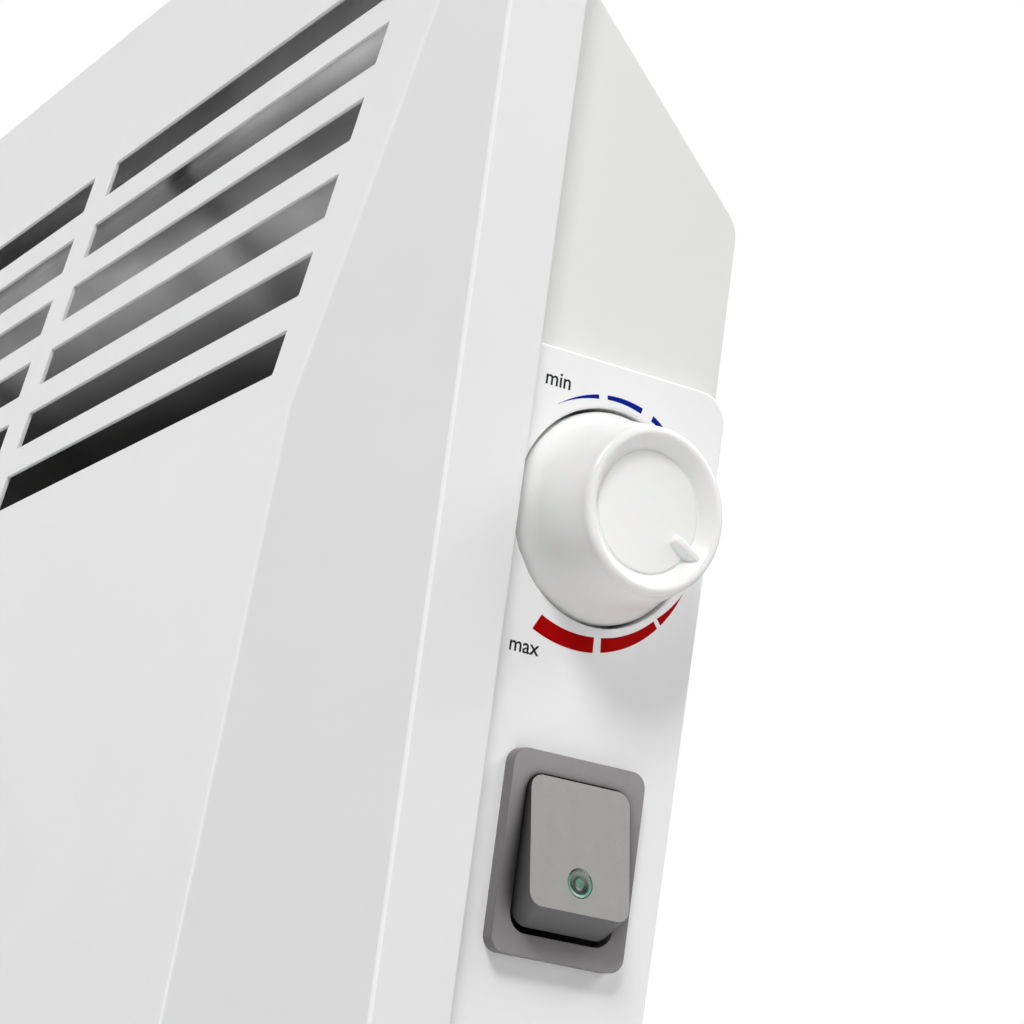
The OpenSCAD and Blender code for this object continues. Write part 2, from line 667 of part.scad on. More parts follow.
module element_bushes() {
    color([0.85, 0.82, 0.74]) place() element_at() for (m = [-1, 1])
        difference() {
            translate([m * element_foot_x, 0, 0]) rotate([0, 90, 0]) {
                translate([0, 0, -4]) cylinder(h = 8, r = ebush_r, $fn = 48);
                translate([0, 0, m > 0 ? foot_t + run_gap : -4])
                    cylinder(h = 4 - foot_t - run_gap, r = ebush_r + 2, $fn = 48);
            }
            translate([m * element_foot_x, 0, 0]) rotate([0, 90, 0]) translate([0, 0, -8])
                cylinder(h = 16, r = tube_r + thread_gap, $fn = 48);
        }
}
module element_brackets() {
    color([0.72, 0.73, 0.74]) place() for (m = [-1, 1]) difference() {
        union() {
            translate([element_x + m * element_foot_x + (m > 0 ? 0 : -foot_t),
                       element_y - ebush_r - 8, element_z - foot_h / 2])
                cube([foot_t, back_in_y - element_y + ebush_r + 8, foot_h]);
            translate([element_x + m * element_foot_x + (m > 0 ? -foot_w + foot_t : -foot_t),
                       back_in_y - foot_t, element_z - foot_h / 2]) cube([foot_w, foot_t, foot_h]);
        }
        translate([element_x + m * element_foot_x, element_y, element_z]) rotate([0, 90, 0])
            translate([0, 0, -5]) cylinder(h = 10, r = ebush_r + thread_gap, $fn = 48);
        for (dz = [-1, 1])
            translate([element_x + m * (element_foot_x - foot_w / 2), back_y,
                       element_z + dz * foot_screw_dz])
                rotate([90, 0, 0]) cylinder(h = 6, r = screw_r + thread_gap, $fn = 32);
    }
}

// Thermal cut-out on its clip above the element
disc_r = 8;
disc_t = 9;
clip_y = back_in_y - 7;
module thermal_cutout() {
    color([0.30, 0.28, 0.27]) place() translate([cutout_x, clip_y - foot_t, cutout_z])
        rotate([90, 0, 0]) {
            cylinder(h = disc_t, r = disc_r, $fn = 48);
            for (m = [-1, 1]) translate([m * 4.5 - 0.4, -3.15, disc_t - eps]) cube([0.8, 6.3, 8]);
        }
}
module cutout_clip() {
    color([0.75, 0.76, 0.77]) place() difference() {
        translate([cutout_x - 10, 0, cutout_z]) rotate([90, 0, 90]) linear_extrude(20)
            polygon(sheet_outline([[back_in_y, -25], [back_in_y, -10], [clip_y, -10], [clip_y, 11]],
                                  foot_t));
        translate([cutout_x, back_y, cutout_z - 18]) rotate([90, 0, 0])
            cylinder(h = 8, r = screw_r + thread_gap, $fn = 32);
    }
}

// Heat deflector: bright sheet that lines the back behind the slots
deflector_t = 0.5;
deflector_gap = 2;
deflector_half = strip_x(back_y, panel_side_in) - 4;
deflector_path = concat([[back_in_y, deflector_foot], [back_in_y, deflector_foot + 10]],
    [for (p = shifted([[back_y, deflector_foot + 13], [back_y, slope_z],
        [upper_y, slope_top], [upper_y, top_in_z - 6]], panel_t + deflector_gap)) p]);
module heat_deflector() {
    color([0.70, 0.71, 0.73]) place() difference() {
        along_x(-deflector_half, deflector_half)
            polygon(sheet_outline(deflector_path, deflector_t));
        for (m = [-1, 1]) translate([m * deflector_screw_x, back_y, deflector_foot + 5])
            rotate([90, 0, 0]) cylinder(h = 6, r = screw_r + thread_gap, $fn = 32);
    }
}

// Partition between the hot chamber and the controls
partition_d = 52;
wire_hole_r = 5;
low_wire_z = 60;
module control_partition() {
    color([0.80, 0.80, 0.79]) place() difference() {
        union() {
            translate([partition_x, back_in_y - partition_d, panel_z + 1])
                cube([panel_t, partition_d, partition_top - panel_z - 1]);
            translate([partition_x - 14, back_in_y - panel_t, panel_z + 12])
                cube([14 + eps, panel_t, partition_top - panel_z - 30]);
            translate([partition_x, back_in_y - partition_d, partition_top - panel_t])
                cube([strip_x(back_y, panel_side_in) - 9 - partition_x, partition_d, panel_t]);
        }
        for (z = panel_screw_z) translate([partition_x - 7, back_y, z]) rotate([90, 0, 0])
            cylinder(h = 6, r = screw_r + thread_gap, $fn = 32);
        for (z = [cutout_z, low_wire_z]) translate([partition_x - 2, wire_y, z])
            rotate([0, 90, 0]) cylinder(h = 6, r = wire_hole_r, $fn = 32);
    }
}

// Mains terminal block, earth stud and cable gland
block_w = 20;
block_d = 14;
block_h = 40;
module terminal_block() {
    color([0.92, 0.91, 0.86]) place() difference() {
        union() {
            translate([block_x - block_w / 2, back_in_y - block_d, block_z - block_h / 2])
                cube([block_w, block_d, block_h]);
            translate([block_x - block_w / 2, back_in_y - 3, block_z - 29])
                cube([block_w, 3, 58]);
        }
        for (k = [-1, 0, 1]) {
            translate([block_x - block_w, back_in_y - block_d / 2, block_z + k * 12])
                rotate([0, 90, 0]) cylinder(h = 2 * block_w, r = wire_r + run_gap, $fn = 24);
            translate([block_x, back_in_y - block_d - 1, block_z + k * 12]) rotate([-90, 0, 0])
                cylinder(h = 5, r = 2.2, $fn = 24);
        }
        for (dz = [-1, 1]) translate([block_x, back_y, block_z + dz * block_ear]) rotate([90, 0, 0])
            cylinder(h = 8, r = screw_r + thread_gap, $fn = 32);
    }
}
module cable_gland() {
    color([0.20, 0.20, 0.21]) place() difference() {
        translate([gland_x, back_y, gland_z]) rotate([90, 0, 0]) rotate_extrude($fn = 48)
            polygon([[cord_r, -7], [gland_r - 1.2, -7], [gland_r + 2.6, -3], [gland_r + 2.6, 0],
                [gland_r, 0], [gland_r, panel_t], [gland_r + 1.4, panel_t + 0.6],
                [gland_r, panel_t + 5], [cord_r, panel_t + 5]]);
    }
}
earth_blade_y = back_in_y - 3.2 + 0.8;
module earth_stud() {
    color([0.78, 0.74, 0.62]) place() translate([earth_x, back_in_y - 3.2, earth_z])
        rotate([-90, 0, 0]) {
            screw(6);
            translate([0, 0, 0.4]) difference() {
                union() {
                    cylinder(h = 0.8, r = 4.5, $fn = 32);
                    translate([-3.15, -14, 0]) cube([6.3, 12, 0.8]);
                }
                translate([0, 0, -1]) cylinder(h = 3, r = screw_r, $fn = 24);
            }
        }
}

// Sensor bulb, its clips and its capillary
bulb_r = 3.2;
bulb_l = 70;
bulb_x = partition_x + panel_t + 8;
bulb_y = back_in_y - 40;
bulb_z = 34;
capillary_r = 0.8;
wire_r = 1.3;
wire_y = back_in_y - 10;
module sensor_bulb() {
    color([0.80, 0.52, 0.36]) place() translate([bulb_x, bulb_y, bulb_z])
        rotate_extrude($fn = 32) polygon([[0, 0], [bulb_r - 1, 0], [bulb_r, 1],
            [bulb_r, bulb_l - 3], [capillary_r + 0.4, bulb_l], [0, bulb_l]]);
}
module bulb_clips() {
    color([0.75, 0.76, 0.77]) place() for (z = [bulb_z + 15, bulb_z + bulb_l - 20])
        difference() {
            union() {
                translate([bulb_x, bulb_y, z]) cylinder(h = 6, r = bulb_r + 1.2, $fn = 32);
                translate([partition_x + panel_t, bulb_y - 1.5, z])
                    cube([bulb_x - partition_x - panel_t, 3, 6]);
            }
            translate([bulb_x, bulb_y, z - 1]) cylinder(h = 8, r = bulb_r + 0.02, $fn = 32);
        }
}
// Mitred tube of radius r along the points p
function ring_start(d, r, sides) = let (
    a = abs(d.z) < 0.9 ? unit(cross(d, [0, 0, 1])) : unit(cross(d, [1, 0, 0])), b = cross(d, a))
    [for (k = [0 : sides - 1]) a * r * cos(360 * k / sides) + b * r * sin(360 * k / sides)];
function square_to(o, d) = [for (v = o) v - d * (v * d)];
function mitred(o, d, b) = [for (v = o) v - d * (v * b) / (d * b)];
function tube_rings(p, r, sides, i, o) = let (last = len(p) - 1,
        d = i < last ? unit(p[i + 1] - p[i]) : unit(p[i] - p[i - 1]),
        d0 = i > 0 ? unit(p[i] - p[i - 1]) : d,
        start = i == 0 ? ring_start(d, r, sides) : mitred(o, d0, unit(d0 + d)))
    concat([[for (v = start) p[i] + v]],
           i < last ? tube_rings(p, r, sides, i + 1, square_to(start, d)) : []);
module tube(p, r, sides = 8) {
    rings = tube_rings(p, r, sides, 0, []);
    last = len(p) - 1;
    polyhedron(
        points = [for (ring = rings, v = ring) v],
        faces = concat(
            [[for (k = [0 : sides - 1]) k]],
            [[for (k = [sides - 1 : -1 : 0]) last * sides + k]],
            [for (i = [0 : last - 1], k = [0 : sides - 1])
                let (a = i * sides + k, b = i * sides + (k + 1) % sides)
                each [[b, a, a + sides], [b, a + sides, b + sides]]]));
}
module capillary_tube() {
    color([0.80, 0.52, 0.36]) place() tube([
        thermostat_port(-8, 0), thermostat_port(-8, 12), [bulb_x, bulb_y, axis_z - 60],
        [bulb_x, bulb_y, bulb_z + bulb_l]], capillary_r);
}
function switch_tip(k, d) = side_point(
    switch_s, switch_z + terminal_z[k], switch_floor_n - 9.5 - d);
function thermostat_port(ds, d) = side_point(
    control_s + ds, axis_z - 16 - d, body_back_n + 6);
function block_point(side, k, d) = [
    block_x + side * (block_w / 2 + d), back_in_y - block_d / 2, block_z + 12 * k];
function cutout_tip(side, d) = [
    cutout_x + 4.5 * side, clip_y - foot_t - disc_t - 8 - d, cutout_z];
// The right blade's wire comes from above it, and the left blade's from below it
function element_blade(side, d) = [
    element_x + side * (tube_half + element_end / 2), element_y, element_z + side * (blade_w / 2 + d)];
wire_in = 6;
module live_wires() {
    color([0.42, 0.22, 0.12]) place() {
        // Terminal block to the switch
        tube([block_point(-1, 0, -wire_in), block_point(-1, 0, 6),
            [partition_x + 8, wire_y - 9, switch_z - 47], switch_tip(1, 14), switch_tip(1, 0)],
            wire_r);
        // Switch to the thermostat
        tube([switch_tip(2, 0), switch_tip(2, 8), thermostat_port(2, 10), thermostat_port(2, 0)],
            wire_r);
        // Thermostat to the thermal cut-out
        tube([thermostat_port(10, 0), thermostat_port(10, 10),
            [partition_x + 15, wire_y + 3, cutout_z + 15], [partition_x + 11, wire_y, cutout_z],
            [partition_x - 9, wire_y, cutout_z], [cutout_x + 30, clip_y - 30, cutout_z],
            cutout_tip(1, 12), cutout_tip(1, 0)], wire_r);
        // Thermal cut-out to the element's right end
        tube([cutout_tip(-1, 0), cutout_tip(-1, 12), [cutout_x + 10, clip_y - 35, cutout_z - 30],
            element_blade(1, 50), element_blade(1, 0)], wire_r);
    }
}
module neutral_wires() {
    color([0.10, 0.25, 0.60]) place() {
        // Terminal block to the switch's lamp
        tube([block_point(1, -1, -wire_in), block_point(1, -1, 8),
            [block_x + block_w, wire_y - 11, switch_z - 47], switch_tip(0, 8), switch_tip(0, 0)],
            wire_r);
        // Element's left end to the terminal block
        tube([element_blade(-1, 0), element_blade(-1, 40),
            [element_x - tube_half, wire_y, low_wire_z], [partition_x - 9, wire_y, low_wire_z],
            [partition_x + 11, wire_y, low_wire_z], block_point(-1, -1, 8) - [0, 0, 20],
            block_point(-1, -1, 5), block_point(-1, -1, -wire_in)], wire_r);
    }
}
module earth_wire() {
    color([0.35, 0.60, 0.15]) place() tube([
        block_point(1, 1, -wire_in), block_point(1, 1, 8), [earth_x + 18, back_in_y - 5, earth_z],
        [earth_x, earth_blade_y, earth_z + 26], [earth_x, earth_blade_y, earth_z + 14]], wire_r);
}

// Wall bracket, its hooks, the spacers and the lock screw
bracket_w = hole_span_x + 40;
bracket_h = hole_span_z + 30;
hook_reach = wall_gap + panel_t + 2;
module hook(x) {
    z0 = bracket_z + bracket_h / 2;
    translate([x - hook_w / 2, 0, 0]) rotate([90, 0, 90]) linear_extrude(hook_w)
        polygon(sheet_outline([[-hook_reach, hook_z + 12], [-hook_reach, hook_z],
            [-bracket_t, hook_z], [-bracket_t, z0 - 10]], bracket_t));
}
module wall_bracket() {
    color([0.75, 0.76, 0.77]) place() difference() {
        union() {
            translate([-bracket_w / 2, -bracket_t, bracket_z - bracket_h / 2])
                cube([bracket_w, bracket_t, bracket_h]);
            for (m = [-1, 1]) hook(m * hook_x);
            translate([-12, 0, 0]) rotate([90, 0, 90]) linear_extrude(24)
                polygon(sheet_outline([[back_y, lock_z - 10], [back_y, lock_z + 10],
                    [-bracket_t, lock_z + 10], [-bracket_t, bracket_z - bracket_h / 2 + 10]],
                    -bracket_t));
        }
        for (mx = [-1, 1], mz = [-1, 1])
            translate([mx * hole_span_x / 2, 1, bracket_z + mz * hole_span_z / 2])
                rotate([90, 0, 0]) cylinder(h = bracket_t + 2, r = wall_hole_r, $fn = 32);
        translate([0, 0, lock_z]) rotate([90, 0, 0])
            cylinder(h = 40, r = screw_r + thread_gap, $fn = 32);
    }
}
module wall_spacers() {
    color([0.30, 0.30, 0.31]) place() for (m = [-1, 1])
        translate([m * spacer_x, 0, spacer_z]) rotate([90, 0, 0]) rotate_extrude($fn = 48)
            polygon([[0, 0], [spacer_r - 1.5, 0], [spacer_r, 1.5], [spacer_r, wall_gap],
                [spacer_r / 2, wall_gap], [spacer_r / 2, wall_gap + panel_t + 2],
                [0, wall_gap + panel_t + 2]]);
}

// Fasteners
module cover_screws() {
    color([0.75, 0.75, 0.76]) place() for (x = cover_screw_x)
        translate([x, cover_screw_y, 0]) cross_screw(panel_z + 5);
}
module cheek_screws() {
    color([0.75, 0.75, 0.76]) place() for (m = [-1, 1], z = cheek_screw_z)
        translate([m * cheek_screw_x(), back_y, z]) rotate([90, 0, 0])
            cross_screw(panel_t + cheek_t + 4);
}
module control_screws() {
    color([0.75, 0.75, 0.76]) place() for (b = bracket_boss)
        side_at(control_s + b.x, axis_z + b.y, bracket_n - bracket_sheet)
            cross_screw(bracket_sheet + cheek_in_n - bracket_n - 0.5);
}
module element_screws() {
    color([0.75, 0.75, 0.76]) place() for (m = [-1, 1], dz = [-1, 1])
        translate([element_x + m * (element_foot_x - foot_w / 2), back_y,
                   element_z + dz * foot_screw_dz])
            rotate([90, 0, 0]) cross_screw(panel_t + foot_t + 3);
}
module panel_screws() {
    color([0.75, 0.75, 0.76]) place() {
        for (z = panel_screw_z) translate([partition_x - 7, back_y, z]) rotate([90, 0, 0])
            cross_screw(2 * panel_t + 3);
        for (m = [-1, 1]) translate([m * deflector_screw_x, back_y, deflector_foot + 5])
            rotate([90, 0, 0]) cross_screw(panel_t + deflector_t + 3);
        translate([cutout_x, back_y, cutout_z - 18]) rotate([90, 0, 0])
            cross_screw(panel_t + foot_t + 3);
        for (dz = [-1, 1]) translate([block_x, back_y, block_z + dz * block_ear]) rotate([90, 0, 0])
            cross_screw(panel_t + 5);
    }
}
module lock_screw() {
    color([0.75, 0.75, 0.76]) place() translate([0, back_in_y, lock_z]) rotate([-90, 0, 0])
        cross_screw(panel_t + bracket_t + 4);
}

front_cover();
back_panel();
right_cheek();
left_cheek();
inlet_grille();
control_plate();
thermostat_knob();
thermostat_shaft();
thermostat_body();
thermostat_nut();
control_bracket();
switch_frame();
switch_rocker();
rocker_pin();
indicator_lens();
indicator_lamp();
switch_terminals();
element_fins();
element_tube();
element_terminals();
element_bushes();
element_brackets();
thermal_cutout();
cutout_clip();
heat_deflector();
control_partition();
terminal_block();
cable_gland();
earth_stud();
sensor_bulb();
capillary_tube();
bulb_clips();
live_wires();
neutral_wires();
earth_wire();
wall_bracket();
wall_spacers();
cover_screws();
cheek_screws();
control_screws();
element_screws();
panel_screws();
lock_screw();
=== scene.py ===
import json
import math

import bmesh
import bpy
from mathutils import Matrix, Vector


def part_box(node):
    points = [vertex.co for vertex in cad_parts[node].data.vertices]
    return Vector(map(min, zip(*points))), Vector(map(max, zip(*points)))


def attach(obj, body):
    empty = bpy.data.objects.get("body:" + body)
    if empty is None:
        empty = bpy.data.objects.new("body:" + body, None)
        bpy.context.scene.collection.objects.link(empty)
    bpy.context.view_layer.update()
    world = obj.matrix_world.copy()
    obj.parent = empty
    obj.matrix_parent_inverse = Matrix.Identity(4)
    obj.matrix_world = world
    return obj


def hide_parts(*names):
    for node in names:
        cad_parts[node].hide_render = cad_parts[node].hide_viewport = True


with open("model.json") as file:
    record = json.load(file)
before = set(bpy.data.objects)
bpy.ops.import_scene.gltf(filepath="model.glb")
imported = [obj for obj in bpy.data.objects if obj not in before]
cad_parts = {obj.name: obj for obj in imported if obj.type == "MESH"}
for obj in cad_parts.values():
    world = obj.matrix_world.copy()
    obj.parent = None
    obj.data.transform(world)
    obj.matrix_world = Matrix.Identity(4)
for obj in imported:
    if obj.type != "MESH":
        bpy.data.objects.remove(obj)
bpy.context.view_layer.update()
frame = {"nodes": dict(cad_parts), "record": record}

MM = 0.001
scene = bpy.context.scene
nodes = frame["nodes"]
behaviour = frame["record"]["behaviour"]
slot_of = {part["node"]: part["material_slot"] for part in frame["record"]["subparts"]}
body_of = {node: body for body, members in behaviour["bodies"].items() for node in members}

# Sizes of the folded front cover, in metres, and its angles
SHEET = 0.8 * MM
FOLD_WIDTH = 0.4 * MM
SHEET_EDGE = 0.15 * MM
SLOT_R = 0.45 * MM
OUTLET_H = 117.1 * MM
OUTLET_TILT = math.radians(10)
LOWER_TILT = math.radians(2.9)
BEVEL_ANGLE = math.radians(54.5)
SIDE_TAPER = math.radians(12)
STRIP_DEPTH = 13.56 * MM
BOTTOM_FLANGE = 14 * MM
SLOT_ROWS = 6
SLOT_COLS = 3
SLOT_L = 157.3 * MM
SLOT_H = 7.6 * MM
SLOT_PITCH = 13.4 * MM
SLOT_WEB = 13.9 * MM
SLOT_BASE = 7.65 * MM

# Sizes of the knob and its scale, in metres, and its pointer's angle on the dial in degrees.
# On the side, s runs back from the corner, z up from the bottom and n outwards.
CONTROL_S = 32.7 * MM
KNOB_Z = 315.4 * MM
PLATE_N = -4 * MM
KNOB_H = 12.9 * MM
KNOB_FOOT = -0.6 * MM
KNOB_SKIRT = 3.5 * MM
KNOB_R = 16.45 * MM
KNOB_FACE_R = 13 * MM
KNOB_RIM = 1.0 * MM
KNOB_FLARE = 2.2 * MM
KNOB_WALL = 1.6 * MM
KNOB_INNER_FACE_R = 11.2 * MM
KNOB_DRAFT = 0.8 * MM
KNOB_DISC_R = 9.3 * MM
KNOB_RECESS = 2.1 * MM
KNOB_SEGMENTS = 160
POINTER_ANGLE = -30.5
POINTER_START = 5.8 * MM
POINTER_END = 11.9 * MM
POINTER_HALF_W = 1.25 * MM
POINTER_CREST = 0.5 * MM
POINTER_H = 1.5 * MM
POINTER_ROOT = 0.3 * MM
POINTER_EDGE = 0.2 * MM
INK = 0.02 * MM
LETTER_WEIGHT = 0.035 * MM

# Sizes of the rocker and its window, in metres
ROCKER_SWING = math.radians(11)
ROCKER_RISE = 6.95 * MM
LENS_DROP = 4.9 * MM
LENS_R = 2.29 * MM
LENS_SEGMENTS = 64

# The cover's places, from the frame
cover_low, cover_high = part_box("front_cover")
corner_x = cover_high.x
bottom_z = cover_low.z
top_z = cover_high.z
strip_rear_y = cover_high.y
corner_y = strip_rear_y - STRIP_DEPTH
strip_rear_x = corner_x - STRIP_DEPTH * math.tan(SIDE_TAPER)
fold_z = top_z - OUTLET_H
fold_y = corner_y - OUTLET_H * math.tan(OUTLET_TILT)


def side_matrix():
    """Local x runs back along the right side, y up and z out of it."""
    c, s = math.cos(SIDE_TAPER), math.sin(SIDE_TAPER)
    return Matrix(((-s, 0, c, corner_x), (c, 0, s, corner_y), (0, 1, 0, bottom_z), (0, 0, 0, 1)))


# The controls' places: local z points out of the side, and out of the tilted rocker
SIDE = side_matrix()
KNOB_PLACE = SIDE @ Matrix.Translation((CONTROL_S, KNOB_Z, PLATE_N)) \
    @ Matrix.Rotation(math.radians(POINTER_ANGLE), 4, "Z")
rocker_joint = next(joint for joint in behaviour["joints"] if joint["name"] == "rocker_tilt")
ROCKER_PLACE = Matrix.Translation(rocker_joint["pos_m"]) @ SIDE.to_3x3().to_4x4() \
    @ Matrix.Rotation(-ROCKER_SWING, 4, "X")
LENS_PLACE = ROCKER_PLACE @ Matrix.Translation((0, -LENS_DROP, ROCKER_RISE))


# Meshes. Points of a solid nearer than WELD are joined, and so are faces that turn less
# than PLANAR from each other.
WELD = 0.001 * MM
PLANAR = math.radians(0.5)


def link(name, data):
    obj = bpy.data.objects.new(name, data)
    scene.collection.objects.link(obj)
    return obj


def finished(bm, name, place=None):
    """Turns the faces outwards, moves the mesh to its place and links it as an object."""
    bmesh.ops.recalc_face_normals(bm, faces=bm.faces)
    if place is not None:
        bm.transform(place)
    mesh = bpy.data.meshes.new(name)
    bm.to_mesh(mesh)
    bm.free()
    return link(name, mesh)


def evaluated_mesh(obj):
    """A new mesh of what the object shows, with its modifiers or from its text."""
    bpy.context.view_layer.update()
    graph = bpy.context.evaluated_depsgraph_get()
    return bpy.data.meshes.new_from_object(obj.evaluated_get(graph))


def apply_modifiers(obj):
    """Gives the object the mesh that its modifiers make of its own."""
    mesh = evaluated_mesh(obj)
    mesh.name = obj.name
    plain = obj.data
    obj.modifiers.clear()
    obj.data = mesh
    bpy.data.meshes.remove(plain)


def shade(obj, angle):
    """Smooth faces, with edges left sharp above the angle in degrees."""
    mesh = obj.data
    mesh.polygons.foreach_set("use_smooth", [True] * len(mesh.polygons))
    mesh.set_sharp_from_angle(angle=math.radians(angle))
    mesh.update()


def level_normals(obj):
    """Large faces keep their own normals, so that only the rounded edges are shaded round."""
    leveller = obj.modifiers.new("normals", "WEIGHTED_NORMAL")
    leveller.keep_sharp = True
    apply_modifiers(obj)


def bevel(obj, width, segments, angle, clamp=False, miter="MITER_ARC"):
    """Adds a modifier that rounds the edges above the angle in degrees."""
    rounding = obj.modifiers.new("edges", "BEVEL")
    rounding.width = width
    rounding.segments = segments
    rounding.limit_method = "ANGLE"
    rounding.angle_limit = math.radians(angle)
    rounding.use_clamp_overlap = clamp
    rounding.miter_outer = miter
    return rounding


def softened(node, width):
    """A copy of a CAD node with its planar faces joined and its edges rounded."""
    bm = bmesh.new()
    bm.from_mesh(nodes[node].data)
    bmesh.ops.remove_doubles(bm, verts=bm.verts, dist=WELD)
    bmesh.ops.dissolve_limit(bm, angle_limit=PLANAR, verts=bm.verts, edges=bm.edges)
    mesh = bpy.data.meshes.new(node + "_detail")
    bm.to_mesh(mesh)
    bm.free()
    obj = link(node + "_detail", mesh)
    bevel(obj, width, segments=3, angle=30, clamp=True)
    apply_modifiers(obj)
    shade(obj, 40)
    level_normals(obj)
    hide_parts(node)
    return obj


def lathe(name, profile, segments, place):
    """Turns a profile of (radius, height) points about the local z axis."""
    bm = bmesh.new()
    turns = [2 * math.pi * k / segments for k in range(segments)]
    rings = []
    for r, z in profile:
        around = turns if r > 0 else [0]
        rings.append([bm.verts.new((r * math.cos(turn), r * math.sin(turn), z))
                      for turn in around])
    for a, b in zip(rings, rings[1:]):
        for k in range(segments):
            j = (k + 1) % segments
            quad = [a[k % len(a)], a[j % len(a)], b[j % len(b)], b[k % len(b)]]
            corners = [v for i, v in enumerate(quad) if v not in quad[:i]]
            if len(corners) > 2:
                bm.faces.new(corners)
    return finished(bm, name, place)


# Shader nodes. Most of a noise's values lie in NOISE_SPAN.
NOISE_SPAN = (0.3, 0.7)
RELIEF = 0.05 * MM
SCATTER = 1.0 * MM
REFRACTION = 1.45


def object_coordinates(tree):
    return tree.nodes.new("ShaderNodeTexCoord").outputs["Object"]


def noise(tree, surface, scale, detail):
    cloud = tree.nodes.new("ShaderNodeTexNoise")
    cloud.inputs["Scale"].default_value = scale
    cloud.inputs["Detail"].default_value = detail
    tree.links.new(surface, cloud.inputs["Vector"])
    return cloud.outputs["Fac"]


def map_range(tree, value, source, target=(0.0, 1.0), smooth=False):
    span = tree.nodes.new("ShaderNodeMapRange")
    if smooth:
        span.interpolation_type = "SMOOTHSTEP"
    for name, end in zip(("From Min", "From Max", "To Min", "To Max"), (*source, *target)):
        span.inputs[name].default_value = end
    tree.links.new(value, span.inputs["Value"])
    return span.outputs["Result"]


def color_ramp(tree, value, stops):
    """A colour for a value, from a stop for each (place, colour)."""
    ramp = tree.nodes.new("ShaderNodeValToRGB")
    elements = ramp.color_ramp.elements
    elements.remove(elements[1])
    for k, (place, color) in enumerate(stops):
        element = elements[0] if k == 0 else elements.new(place)
        element.position = place
        element.color = (*color, 1)
    tree.links.new(value, ramp.inputs["Fac"])
    return ramp.outputs["Color"]


def mix_colors(tree, share, first, second, blend="MIX"):
    """Mixes two colours, where the share and each colour are a socket or a fixed value."""
    mix = tree.nodes.new("ShaderNodeMix")
    mix.data_type = "RGBA"
    mix.blend_type = blend
    for name, value in (("Factor", share), ("A", first), ("B", second)):
        if isinstance(value, bpy.types.NodeSocket):
            tree.links.new(value, mix.inputs[name])
        else:
            mix.inputs[name].default_value = value
    return mix.outputs["Result"]


def vector_math(tree, operation, vector, other=None):
    step = tree.nodes.new("ShaderNodeVectorMath")
    step.operation = operation
    tree.links.new(vector, step.inputs[0])
    if other is not None:
        step.inputs[1].default_value = other
    return step.outputs["Value" if operation in ("LENGTH", "DOT_PRODUCT") else "Vector"]


def base_color(mat):
    return mat.node_tree.nodes["Principled BSDF"].inputs["Base Color"]


# Materials
def material(name, color, rough, tint=0.03, tint_scale=60, rough_range=0.06, bump=0.0,
             bump_scale=900, stretch=(1, 1, 1), metallic=0.0, specular=0.5, coat=0.0,
             coat_rough=0.1, transmission=0.0, subsurface=0.0):
    """A finish whose colour and gloss drift a little, with a fine relief where bump is set."""
    mat = bpy.data.materials.new(name)
    mat.use_nodes = True
    tree = mat.node_tree
    shader = tree.nodes["Principled BSDF"]
    mapping = tree.nodes.new("ShaderNodeMapping")
    mapping.inputs["Scale"].default_value = stretch
    tree.links.new(object_coordinates(tree), mapping.inputs["Vector"])
    surface = mapping.outputs["Vector"]

    drift = noise(tree, surface, tint_scale, detail=4)
    dull, bright = [[min(1, c * (1 + change)) for c in color] for change in (-tint, tint)]
    base = color_ramp(tree, drift, list(zip(NOISE_SPAN, (dull, bright))))
    tree.links.new(base, shader.inputs["Base Color"])
    gloss = map_range(tree, drift, NOISE_SPAN,
                      (max(0.02, rough - rough_range), min(1, rough + rough_range)))
    tree.links.new(gloss, shader.inputs["Roughness"])
    if bump > 0:
        relief = tree.nodes.new("ShaderNodeBump")
        relief.inputs["Strength"].default_value = bump
        relief.inputs["Distance"].default_value = RELIEF
        tree.links.new(noise(tree, surface, bump_scale, detail=2), relief.inputs["Height"])
        tree.links.new(relief.outputs["Normal"], shader.inputs["Normal"])

    for socket, value in (("Metallic", metallic), ("Specular IOR Level", specular),
                          ("Coat Weight", coat), ("Coat Roughness", coat_rough),
                          ("Transmission Weight", transmission), ("IOR", REFRACTION)):
        shader.inputs[socket].default_value = value
    if subsurface > 0:
        shader.inputs["Subsurface Weight"].default_value = subsurface
        shader.inputs["Subsurface Scale"].default_value = SCATTER
    return mat


def paint_seam_shade(mat, reach, most, full_at):
    """Paints shade into the colour where another surface stands close by, darkest deep in seams.
    """
    tree = mat.node_tree
    base = base_color(mat)
    near = tree.nodes.new("ShaderNodeAmbientOcclusion")
    near.samples = 12
    near.inputs["Distance"].default_value = reach
    openness = map_range(tree, near.outputs["AO"], (full_at, 1), (1 - most, 1))
    shaded = mix_colors(tree, openness, (0, 0, 0, 1), base.links[0].from_socket)
    tree.links.new(shaded, base)


def paint_shade_along(mat, heading, levels, sway, sway_scale):
    """Multiplies a colour by (place, level) steps along a direction, swayed by clouds, to paint
    shade and light.
    """
    tree = mat.node_tree
    base = base_color(mat)
    surface = object_coordinates(tree)
    swayed = tree.nodes.new("ShaderNodeMath")
    swayed.operation = "MULTIPLY_ADD"
    swayed.inputs[1].default_value = sway
    tree.links.new(noise(tree, surface, sway_scale, detail=5), swayed.inputs[0])
    tree.links.new(vector_math(tree, "DOT_PRODUCT", surface, heading), swayed.inputs[2])
    first, last = levels[0][0], levels[-1][0]
    place = map_range(tree, swayed.outputs["Value"], (first + sway / 2, last + sway / 2))
    steps = color_ramp(tree, place, [((at - first) / (last - first), (level,) * 3)
                                     for at, level in levels])
    tree.links.new(mix_colors(tree, 1.0, base.links[0].from_socket, steps, "MULTIPLY"), base)


# Heights on the lens, as shares of its radius, between which the painted sheen comes in
SHEEN_SPAN = (-0.35, 0.75)


